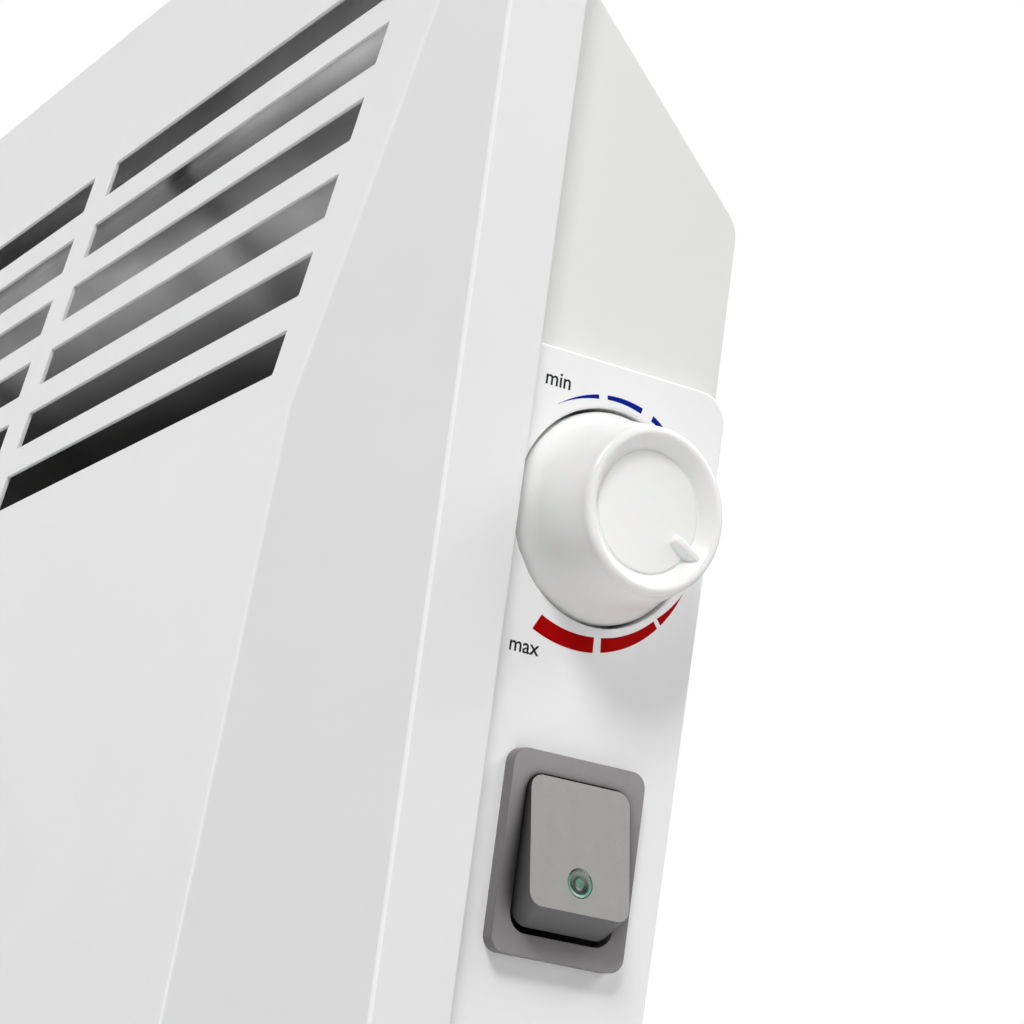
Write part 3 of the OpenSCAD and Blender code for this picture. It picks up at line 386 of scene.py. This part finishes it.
def lens_material(place):
    """Green glass: a pale centre, a dark ring and a mint rim of painted light, with a painted
    sheen towards the top.
    """
    mat = material("lens_glass", (0.1, 0.3, 0.25), 0.25, tint=0.1, tint_scale=900, bump=0.3,
                   bump_scale=1800, coat=0.5, coat_rough=0.15)
    tree = mat.node_tree
    local = tree.nodes.new("ShaderNodeMapping")
    local.vector_type = "TEXTURE"
    local.inputs["Location"].default_value = place.translation
    local.inputs["Rotation"].default_value = place.to_euler()
    local.inputs["Scale"].default_value = (LENS_R,) * 3
    tree.links.new(object_coordinates(tree), local.inputs["Vector"])
    on_lens = local.outputs["Vector"]
    flat = vector_math(tree, "MULTIPLY", on_lens, (1, 1, 0))
    from_centre = vector_math(tree, "LENGTH", flat)
    axes = tree.nodes.new("ShaderNodeSeparateXYZ")
    tree.links.new(on_lens, axes.inputs["Vector"])
    height = map_range(tree, axes.outputs["Y"], SHEEN_SPAN, smooth=True)

    # The mint rim is painted light passing through the glass; towards the top the colours turn to
    # a painted sheen
    pale, dark, mint = (0.09, 0.2, 0.155), (0.006, 0.016, 0.013), (0.13, 0.34, 0.25)
    shadow, sheen, edge = (0.07, 0.1, 0.09), (0.18, 0.21, 0.19), (0.015, 0.022, 0.02)
    clear = color_ramp(tree, from_centre, [
        (0.0, pale), (0.3, pale), (0.42, dark), (0.72, dark), (0.82, mint), (0.94, mint),
        (1.0, edge)])
    sheened = color_ramp(tree, from_centre, [
        (0.0, pale), (0.32, pale), (0.42, shadow), (0.7, sheen), (0.86, sheen), (0.93, edge),
        (1.0, edge)])
    tree.links.new(mix_colors(tree, height, clear, sheened), base_color(mat))
    return mat


# The record's finishes
MATERIALS = {
    "white_paint": material("white_paint_satin", (0.84, 0.84, 0.845), 0.42, tint=0.006,
                            rough_range=0.02, bump=0.05, bump_scale=700, specular=0.4),
    "grey_white_paint": material("back_paint_satin", (0.72, 0.72, 0.70), 0.45, tint=0.01,
                                 bump=0.08, bump_scale=700, specular=0.4),
    "cheek_plastic": material("cheek_plastic", (0.785, 0.785, 0.77), 0.48, tint=0.006,
                              bump=0.06, bump_scale=2200, specular=0.4),
    "plate_plastic": material("plate_plastic", (0.885, 0.885, 0.885), 0.45, tint=0.005,
                              bump=0.04, bump_scale=2200, specular=0.4),
    "knob_plastic": material("knob_plastic", (0.915, 0.915, 0.905), 0.24, tint=0.004,
                             rough_range=0.03, bump=0.015, bump_scale=1500, subsurface=0.15),
    "switch_grey": material("switch_frame_plastic", (0.31, 0.295, 0.30), 0.5, tint_scale=400,
                            bump=0.6, bump_scale=3000, specular=0.35),
    "rocker_grey": material("rocker_plastic", (0.325, 0.32, 0.315), 0.5, tint_scale=400,
                            bump=0.6, bump_scale=3000, specular=0.35),
    "lens_green": lens_material(LENS_PLACE),
    "lamp_glass": material("lamp_glass", (0.92, 0.92, 0.88), 0.08, tint=0.02, transmission=0.9),
    "zinc_steel": material("zinc_steel", (0.62, 0.63, 0.64), 0.34, metallic=1.0, tint=0.06,
                           tint_scale=90, rough_range=0.1, bump=0.15, bump_scale=400,
                           stretch=(1, 1, 6)),
    "element_aluminium": material("element_aluminium", (0.70, 0.71, 0.72), 0.38, metallic=1.0,
                                  tint=0.05, bump=0.2, bump_scale=300, stretch=(1, 12, 12)),
    "sheath_steel": material("sheath_steel", (0.34, 0.32, 0.31), 0.42, metallic=1.0, tint=0.15,
                             tint_scale=120, bump=0.15),
    "brass_contacts": material("brass_contacts", (0.70, 0.55, 0.28), 0.32, metallic=1.0,
                               tint=0.06, bump=0.1),
    "ceramic": material("ceramic", (0.72, 0.69, 0.61), 0.3, bump=0.1, bump_scale=500, coat=0.3),
    "black_phenolic": material("black_phenolic", (0.035, 0.033, 0.033), 0.38, tint=0.15,
                               tint_scale=300, bump=0.2, bump_scale=1500),
    "ivory_nylon": material("ivory_nylon", (0.74, 0.71, 0.62), 0.45, tint=0.02, bump=0.1,
                            bump_scale=1200, subsurface=0.1),
    "black_rubber": material("black_rubber", (0.022, 0.022, 0.022), 0.62, tint=0.2,
                             tint_scale=300, bump=0.35, bump_scale=1800, specular=0.3),
    "copper": material("copper", (0.72, 0.38, 0.24), 0.3, metallic=1.0, tint=0.1,
                       tint_scale=150, bump=0.1),
    "brown_insulation": material("brown_insulation", (0.14, 0.055, 0.025), 0.5, tint=0.08,
                                 bump=0.1),
    "blue_insulation": material("blue_insulation", (0.02, 0.06, 0.26), 0.5, tint=0.08, bump=0.1),
    "green_insulation": material("green_insulation", (0.10, 0.28, 0.03), 0.5, tint=0.3,
                                 tint_scale=500, bump=0.1),
}

# Finishes of places within a piece: lighter paint on the creases as painted highlights, a darker
# copy of the switch's plastic on its sides as painted shade, the deflector sheet with painted
# shade and light, and the inks
front_crease_highlight = material("front_crease_highlight_satin", (0.88, 0.88, 0.885), 0.36, tint=0.006,
                              rough_range=0.03, bump=0.03, bump_scale=700, specular=0.45)
side_crease_highlight = material("side_crease_highlight_satin", (0.97, 0.97, 0.975), 0.3, tint=0.006,
                        rough_range=0.03, bump=0.03, bump_scale=700)
rocker_shaded_side = material("rocker_shaded_side", (0.165, 0.16, 0.165), 0.42, tint=0.02, tint_scale=150,
                       rough_range=0.02, bump=0.1, bump_scale=3000, specular=0.35)
frame_shaded_side = material("frame_shaded_side", (0.20, 0.19, 0.195), 0.45, tint=0.02, tint_scale=150,
                      bump=0.3, bump_scale=3000, specular=0.35)
deflector_shaded_sheet = material("deflector_shaded_sheet", (0.95, 0.95, 0.95), 0.5, metallic=0.3, tint=0.25,
                           tint_scale=25, rough_range=0.15, bump=0.1, bump_scale=200)
ink_red = material("ink_red", (0.38, 0.0, 0.0), 0.6, tint=0.02, specular=0.06)
ink_blue = material("ink_blue", (0.0, 0.012, 0.26), 0.6, tint=0.02, specular=0.06)
ink_black = material("ink_black", (0.012, 0.012, 0.012), 0.5, tint=0.05, specular=0.3)

# Painted shade on the switch's frame and the rocker's sides, where they stand close to each other
# and to the plate
paint_seam_shade(MATERIALS["switch_grey"], 16 * MM, most=0.95, full_at=0.62)
paint_seam_shade(rocker_shaded_side, 9 * MM, most=0.9, full_at=0.5)

# Painted shade and light on the deflector: darkest low down, with a lighter band and a lighter
# top.
# Each step has its height in metres, on a line that rises a little to the right.
DEFLECTOR_SHADE_LEVELS = [
    (0.136, 0.002), (0.145, 0.01), (0.150, 0.10), (0.157, 0.34), (0.163, 0.68), (0.1695, 0.85),
    (0.173, 0.5), (0.178, 0.34), (0.182, 0.45), (0.186, 1.0)]
paint_shade_along(deflector_shaded_sheet, (0.06, 0, 1), DEFLECTOR_SHADE_LEVELS, sway=3 * MM, sway_scale=28)


def dress(obj, node):
    """Rides the piece on its node's body with the node's finish."""
    obj.data.materials.clear()
    obj.data.materials.append(MATERIALS[slot_of[node]])
    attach(obj, body_of[node])


# The CAD nodes that show as they are
for node_name, node_obj in nodes.items():
    # The heat deflector takes the sheet with painted shade and light
    is_deflector = node_name == "heat_deflector"
    for material_slot in node_obj.material_slots:
        material_slot.material = deflector_shaded_sheet if is_deflector else MATERIALS[slot_of[node_name]]


# Front cover: one folded sheet, cut with slots, with round bends
FRONT_CREASE, SIDE_CREASE = 1, 2
# The sideways part of a face's normal is less than BEVEL_TURN in the fold across the front,
# and more than STRIP_TURN in the creases behind the bevels
BEVEL_TURN = 0.02
STRIP_TURN = 0.82
# Each side's sign, and its place in a row of the cover's points
SIDES = ((-1, 0), (1, -1))


def cover_rows():
    """Heights up the cover as (z, y): the bottom, the fold, every slot's edge and the top."""
    slope = [0.0]
    for row in range(SLOT_ROWS):
        start = SLOT_BASE + row * SLOT_PITCH
        slope += [start, start + SLOT_H]
    slope.append(OUTLET_H / math.cos(OUTLET_TILT))
    upper = [(fold_z + d * math.cos(OUTLET_TILT), fold_y + d * math.sin(OUTLET_TILT))
             for d in slope]
    front_bottom_y = fold_y - (fold_z - bottom_z) * math.tan(LOWER_TILT)
    return [(bottom_z, front_bottom_y)] + upper


def slot_ends():
    """Places of the slots' ends across the outlet face."""
    field = SLOT_COLS * SLOT_L + (SLOT_COLS - 1) * SLOT_WEB
    starts = [-field / 2 + col * (SLOT_L + SLOT_WEB) for col in range(SLOT_COLS)]
    return [x for start in starts for x in (start, start + SLOT_L)]


def bevel_start_x(y):
    """Half the front's width at a depth, where the bevel starts."""
    return corner_x + (y - corner_y) / math.tan(BEVEL_ANGLE)


def round_slot(bm, corners):
    """Fills the four corners of a slot with small fillets."""
    near = {}
    for a, b in zip(corners, corners[1:] + corners[:1]):
        edge = bm.edges.get((a, b))
        _, near[a, b] = bmesh.utils.edge_split(edge, a, SLOT_R / edge.calc_length())
        edge = bm.edges.get((near[a, b], b))
        _, near[b, a] = bmesh.utils.edge_split(edge, b, SLOT_R / edge.calc_length())
    for i, corner in enumerate(corners):
        before, after = near[corner, corners[i - 1]], near[corner, corners[(i + 1) % 4]]
        to_before, to_after = before.co - corner.co, after.co - corner.co
        turns = [math.radians(90 * k / 4) for k in (1, 2, 3)]
        fillet = [bm.verts.new(corner.co + to_before * (1 - math.sin(turn))
                               + to_after * (1 - math.cos(turn))) for turn in turns]
        bm.faces.new([corner, before] + fillet + [after])


def add_front(bm, rows):
    """The lower face, and the outlet face with its slots left open."""
    ends = slot_ends()
    grid = []
    for z, y in rows:
        half = bevel_start_x(y)
        grid.append([bm.verts.new((x, y, z)) for x in [-half] + ends + [half]])
    slots = []
    for r, (low, high) in enumerate(zip(grid, grid[1:])):
        is_slot_row = 1 < r < len(rows) - 2 and r % 2 == 0
        for c in range(len(low) - 1):
            if is_slot_row and c % 2 == 1:
                slots.append([low[c], low[c + 1], high[c + 1], high[c]])
            else:
                bm.faces.new((low[c], low[c + 1], high[c + 1], high[c]))
    for corners in slots:
        round_slot(bm, corners)
    return grid


def add_sides(bm, rows, grid):
    """The bevels, which end in a point at the top, and the strips that run back from them."""
    corner, rear = {}, {}
    for side, end in SIDES:
        front = [line[end] for line in grid]
        corner[side] = [bm.verts.new((side * corner_x, corner_y, z)) for z, _ in rows[:-1]]
        corner[side].append(front[-1])
        rear[side] = [bm.verts.new((side * strip_rear_x, strip_rear_y, z)) for z, _ in rows]
        for r in range(len(rows) - 1):
            low, high = corner[side][r:r + 2]
            is_top = r == len(rows) - 2
            bm.faces.new([front[r], low, high] if is_top else [front[r], low, high, front[r + 1]])
            bm.faces.new((low, rear[side][r], rear[side][r + 1], high))
    return corner, rear


def add_flanges(bm, rows, grid, corner, rear):
    """A flat flange across the top, and a mitred one round the bottom."""
    bm.faces.new(grid[-1] + [rear[1][-1], rear[-1][-1]])
    front_y = rows[0][1] + BOTTOM_FLANGE
    bevel_shift = BOTTOM_FLANGE / math.sin(BEVEL_ANGLE)
    strip_shift = BOTTOM_FLANGE / math.cos(SIDE_TAPER)
    miter_y = corner_y + (bevel_shift - strip_shift) / (
        1 / math.tan(BEVEL_ANGLE) + math.tan(SIDE_TAPER))
    outline = ((bevel_start_x(front_y) - bevel_shift, front_y),
               (bevel_start_x(miter_y) - bevel_shift, miter_y),
               (strip_rear_x - strip_shift, strip_rear_y))
    inner = {side: [bm.verts.new((side * x, y, bottom_z)) for x, y in outline]
             for side, _ in SIDES}
    bm.faces.new(grid[0] + [inner[1][0], inner[-1][0]])
    for side, end in SIDES:
        bm.faces.new((grid[0][end], corner[side][0], inner[side][1], inner[side][0]))
        bm.faces.new((corner[side][0], rear[side][0], inner[side][2], inner[side][1]))


def build_cover():
    bm = bmesh.new()
    rows = cover_rows()
    grid = add_front(bm, rows)
    corner, rear = add_sides(bm, rows, grid)
    add_flanges(bm, rows, grid, corner, rear)
    obj = finished(bm, "front_cover_sheet")
    # The second finish marks the creases while the modifiers are applied
    for finish in (MATERIALS["white_paint"], front_crease_highlight):
        obj.data.materials.append(finish)
    creases = bevel(obj, FOLD_WIDTH, segments=4, angle=4, miter="MITER_SHARP")
    creases.material = FRONT_CREASE
    sheet = obj.modifiers.new("sheet", "SOLIDIFY")
    sheet.thickness = SHEET
    sheet.offset = -1
    sheet.use_even_offset = True
    bevel(obj, SHEET_EDGE, segments=2, angle=60)
    apply_modifiers(obj)
    crease_of = {face.index: SIDE_CREASE if abs(face.normal.x) > STRIP_TURN else FRONT_CREASE
                 for face in obj.data.polygons
                 if face.material_index == FRONT_CREASE and abs(face.normal.x) > BEVEL_TURN}
    # The sheet's thickness runs past its corners in thin spikes, which are pressed flat
    for vertex in obj.data.vertices:
        vertex.co.z = min(max(vertex.co.z, bottom_z), top_z)
    shade(obj, 50)
    level_normals(obj)
    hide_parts("front_cover")
    dress(obj, "front_cover")
    # Lighter paint on the creases: a painted highlight along each fold
    for finish in (front_crease_highlight, side_crease_highlight):
        obj.data.materials.append(finish)
    for index, crease in crease_of.items():
        obj.data.polygons[index].material_index = crease


# Thermostat knob
def arc(cx, cz, r, start, end, steps):
    """Points round a centre, between two angles in degrees."""
    turns = [math.radians(start + (end - start) * k / steps) for k in range(steps + 1)]
    return [(cx + r * math.cos(turn), cz + r * math.sin(turn)) for turn in turns]


def knob_profile():
    """Outside of the knob from its skirt to the centre of its disc, then its inside."""
    foot, head = (KNOB_R, KNOB_FOOT), (KNOB_FACE_R, KNOB_H - KNOB_RIM)
    outer = [(KNOB_R, -KNOB_SKIRT), foot]
    for t in [k / 12 for k in range(1, 13)]:
        waist = KNOB_FLARE * (1 - t) ** 2 * t
        outer.append((foot[0] + (head[0] - foot[0]) * t - waist,
                      foot[1] + (head[1] - foot[1]) * t))
    crown = arc(KNOB_FACE_R - KNOB_RIM, KNOB_H - KNOB_RIM, KNOB_RIM, start=8, end=125, steps=10)
    # The groove round the disc, in millimetres beyond its edge and above its face
    groove = ((0.55, 0.1), (0.3, -0.25), (0.08, -0.25), (0, -0.08), (-0.12, 0))
    disc_z = KNOB_H - KNOB_RECESS
    recess = [(KNOB_DISC_R + out * MM, disc_z + up * MM) for out, up in groove] + [(0, disc_z)]
    inner_r = KNOB_R - KNOB_WALL
    inner = [(0, disc_z - KNOB_WALL), (KNOB_INNER_FACE_R, disc_z - KNOB_WALL),
             (inner_r - KNOB_DRAFT, KNOB_H / 4), (inner_r, 0), (inner_r, -KNOB_SKIRT),
             (KNOB_R, -KNOB_SKIRT)]
    return outer + crown + recess + inner


def build_knob():
    knob = lathe("knob_turning", knob_profile(), KNOB_SEGMENTS, KNOB_PLACE)
    shade(knob, 28)
    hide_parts("thermostat_knob")
    dress(knob, "thermostat_knob")


def build_pointer():
    """A rib with a sloping ridge, from the knob's disc out to its rim."""
    disc_z = KNOB_H - KNOB_RECESS
    bm = bmesh.new()
    sections = []
    # Each section has its place, and its width and height as shares of the full ones
    for x, half, high in ((POINTER_START - 0.1 * MM, 0.6, 0), (POINTER_START + 0.25 * MM, 1, 0.75),
                          (POINTER_START + 1.2 * MM, 1, 1), (POINTER_END - 0.6 * MM, 0.9, 1),
                          (POINTER_END, 0.6, 0.9)):
        root, ridge = disc_z - POINTER_ROOT, disc_z + high * POINTER_H
        sections.append([bm.verts.new(point) for point in (
            (x, -half * POINTER_HALF_W, root), (x, -POINTER_CREST, ridge),
            (x, POINTER_CREST, ridge), (x, half * POINTER_HALF_W, root))])
    for a, b in zip(sections, sections[1:]):
        for k in range(4):
            j = (k + 1) % 4
            bm.faces.new((a[k], a[j], b[j], b[k]))
    bm.faces.new(sections[0])
    bm.faces.new(reversed(sections[-1]))
    pointer = finished(bm, "knob_pointer", KNOB_PLACE)
    bevel(pointer, POINTER_EDGE, segments=3, angle=20, clamp=True)
    apply_modifiers(pointer)
    shade(pointer, 50)
    dress(pointer, "thermostat_knob")


# Printed scale: three blue bands and three red ones, and two words
BAND_STEPS = 24
LEAST_BAND = 0.06 * MM
# Each band has an angle in degrees, and inner and outer radii in millimetres, at both its ends
BANDS = (
    ("scale_blue_1", ink_blue, (127, 19.17, 19.17), (103, 18.38, 19.07)),
    ("scale_blue_2", ink_blue, (98, 18.36, 19.03), (77, 17.96, 18.91)),
    ("scale_blue_3", ink_blue, (70, 17.89, 18.89), (46, 17.9, 17.9)),
    ("scale_red_1", ink_red, (-119, 19.58, 22.39), (-88, 18.58, 21.0)),
    ("scale_red_2", ink_red, (-84, 18.51, 20.79), (-50.5, 17.88, 19.2)),
    ("scale_red_3", ink_red, (-48, 17.85, 19.08), (-28, 18.32, 18.32)),
)
# Each word has its place back along the side, its height and its size, in millimetres
WORDS = (("min", 18.15, 333.3, 3.35), ("max", 17.95, 291.85, 3.28))


def print_on_plate(obj, ink):
    obj.data.materials.clear()
    obj.data.materials.append(ink)
    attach(obj, "housing")


def print_band(name, ink, first, last):
    """A printed band whose width changes evenly between its two ends."""
    bm = bmesh.new()
    lower, upper = [], []
    for k in range(BAND_STEPS + 1):
        t = k / BAND_STEPS
        angle, inner, outer = [a + (b - a) * t for a, b in zip(first, last)]
        outer = max(outer, inner + LEAST_BAND / MM)
        c, s = math.cos(math.radians(angle)), math.sin(math.radians(angle))
        for ring, n in ((lower, PLATE_N), (upper, PLATE_N + INK)):
            ring.append([bm.verts.new((CONTROL_S + r * MM * c, KNOB_Z + r * MM * s, n))
                         for r in (inner, outer)])
    for low, low_next, high, high_next in zip(lower, lower[1:], upper, upper[1:]):
        bm.faces.new((high[0], high[1], high_next[1], high_next[0]))
        bm.faces.new((low[0], low_next[0], low_next[1], low[1]))
        for edge in (0, 1):
            bm.faces.new((low[edge], low_next[edge], high_next[edge], high[edge]))
    for low, high in ((lower[0], upper[0]), (lower[-1], upper[-1])):
        bm.faces.new((low[0], low[1], high[1], high[0]))
    print_on_plate(finished(bm, name, SIDE), ink)


def print_word(word, s, z, size):
    name = "word_" + word
    text = bpy.data.curves.new(name, "FONT")
    text.body = word
    text.size = size * MM
    text.extrude = INK / 2
    text.offset = LETTER_WEIGHT
    lettering = link(name, text)
    lettering.matrix_world = SIDE @ Matrix.Translation((s * MM, z * MM, PLATE_N + INK / 2))
    mesh = evaluated_mesh(lettering)
    mesh.transform(lettering.matrix_world)
    bpy.data.objects.remove(lettering)
    print_on_plate(link(name, mesh), ink_black)


# The rocker's green window: a dished ring round a low dome
def build_lens():
    # Radius as a share of the window's, and height in millimetres
    outline = ((0, -2.2), (1, -2.2), (1, -0.12), (0.96, 0), (0.9, 0), (0.78, -0.14),
               (0.6, -0.1), (0.44, -0.06), (0.36, -0.16), (0.2, -0.1), (0, -0.08))
    profile = [(r * LENS_R, z * MM) for r, z in outline]
    lens = lathe("indicator_window", profile, LENS_SEGMENTS, LENS_PLACE)
    shade(lens, 60)
    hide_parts("indicator_lens")
    dress(lens, "indicator_lens")


# CAD nodes with their edges rounded, in millimetres
EDGES = {"control_plate": 0.45, "right_cheek": 0.4, "left_cheek": 0.4, "switch_frame": 0.3,
         "switch_rocker": 0.3, "back_panel": 0.2, "wall_bracket": 0.25, "wall_spacers": 0.4,
         "inlet_grille": 0.15}
# The switch's sides take a darker copy of its plastic: painted shade
SIDE_SHADE_FINISHES = {"switch_frame": frame_shaded_side, "switch_rocker": rocker_shaded_side}
# The switch's sides are the faces whose normal has less than FACING along the rocker's axis
ROCKER_AXIS = ROCKER_PLACE.to_3x3() @ Vector((0, 0, 1))
FACING = 0.6


def build_softened(node):
    obj = softened(node, EDGES[node] * MM)
    dress(obj, node)
    if node in SIDE_SHADE_FINISHES:
        obj.data.materials.append(SIDE_SHADE_FINISHES[node])
        for face in obj.data.polygons:
            face.material_index = 1 if face.normal.dot(ROCKER_AXIS) < FACING else 0


# Floor, light and camera
FLOOR_HALF = 1.3
FLOOR_DROP = 0.2
ROOM_LIGHT = 0.03
LIGHT_REACH = 1.8
LIGHT_TARGET = Vector((0.24, -0.07, 0.08))
# Name, azimuth and elevation in degrees, size in metres and power in watts
LIGHTS = (
    ("key", -28, 48, 0.5, 18.2), ("over", -30, 62, 0.8, 3.3), ("front_low", -122, -10, 0.9, 21),
    ("front_left", -150, 20, 1.0, 3), ("rear", 95, 40, 0.8, 15.5),
    ("rear_right", 66, 40, 0.8, 6.8), ("right", 38, 15, 0.8, 2.6), ("right_low", 0, -8, 1.0, 6.4))
# The camera's place, the direction it looks in and its roll, in degrees
CAMERA_PLACE = Vector((802.0 * MM, -262.3 * MM, bottom_z + 194.9 * MM))
CAMERA_AZIMUTH, CAMERA_ELEVATION, CAMERA_ROLL = 158.1833, 11.6282, 7.6487
CAMERA_LENS = 136.05


def build_floor():
    outline = [(x * FLOOR_HALF, y * FLOOR_HALF, bottom_z - FLOOR_DROP)
               for x, y in ((-1, -1), (1, -1), (1, 1), (-1, 1))]
    mesh = bpy.data.meshes.new("floor")
    mesh.from_pydata(outline, [], [(0, 1, 2, 3)])
    mesh.materials.append(material("floor_pale", (0.8, 0.8, 0.8), 0.8, tint=0.01, tint_scale=2))
    link("floor", mesh)


def soft_light(name, azimuth, elevation, size, power):
    """A round soft box on a sphere round the controls, aimed at them."""
    light = bpy.data.lights.new(name, "AREA")
    light.shape = "DISK"
    light.size = size
    light.energy = power
    lamp = link(name, light)
    az, el = math.radians(azimuth), math.radians(elevation)
    away = Vector((math.cos(az) * math.cos(el), math.sin(az) * math.cos(el), math.sin(el)))
    lamp.location = LIGHT_TARGET + away * LIGHT_REACH
    lamp.rotation_euler = (-away).to_track_quat("-Z", "Y").to_euler()


def build_world():
    """White behind the object, as in the photograph, and a faint light from all round."""
    world = bpy.data.worlds.new("studio")
    scene.world = world
    world.use_nodes = True
    tree = world.node_tree
    tree.nodes.clear()
    room, seen = [tree.nodes.new("ShaderNodeBackground") for _ in range(2)]
    for back, strength in ((room, ROOM_LIGHT), (seen, 1.0)):
        back.inputs["Color"].default_value = (1, 1, 1, 1)
        back.inputs["Strength"].default_value = strength
    path = tree.nodes.new("ShaderNodeLightPath")
    mix = tree.nodes.new("ShaderNodeMixShader")
    out = tree.nodes.new("ShaderNodeOutputWorld")
    tree.links.new(path.outputs["Is Camera Ray"], mix.inputs["Fac"])
    tree.links.new(room.outputs["Background"], mix.inputs[1])
    tree.links.new(seen.outputs["Background"], mix.inputs[2])
    tree.links.new(mix.outputs["Shader"], out.inputs["Surface"])


def build_camera():
    """The photograph's viewpoint, from the side and a little below the controls."""
    data = bpy.data.cameras.new("camera")
    data.sensor_width = 36
    data.lens = CAMERA_LENS
    data.clip_start = 0.01
    camera = link("camera", data)
    heading = Matrix.Rotation(math.radians(CAMERA_AZIMUTH - 90), 4, "Z")
    tilt = Matrix.Rotation(math.radians(CAMERA_ELEVATION + 90), 4, "X")
    roll = Matrix.Rotation(math.radians(CAMERA_ROLL), 4, "Z")
    camera.matrix_world = Matrix.Translation(CAMERA_PLACE) @ heading @ tilt @ roll
    scene.camera = camera


build_cover()
build_knob()
build_pointer()
for band in BANDS:
    print_band(*band)
for word in WORDS:
    print_word(*word)
build_lens()
for node_name in EDGES:
    build_softened(node_name)
build_floor()
build_world()
for soft_box in LIGHTS:
    soft_light(*soft_box)
build_camera()
scene.view_settings.view_transform = "Standard"
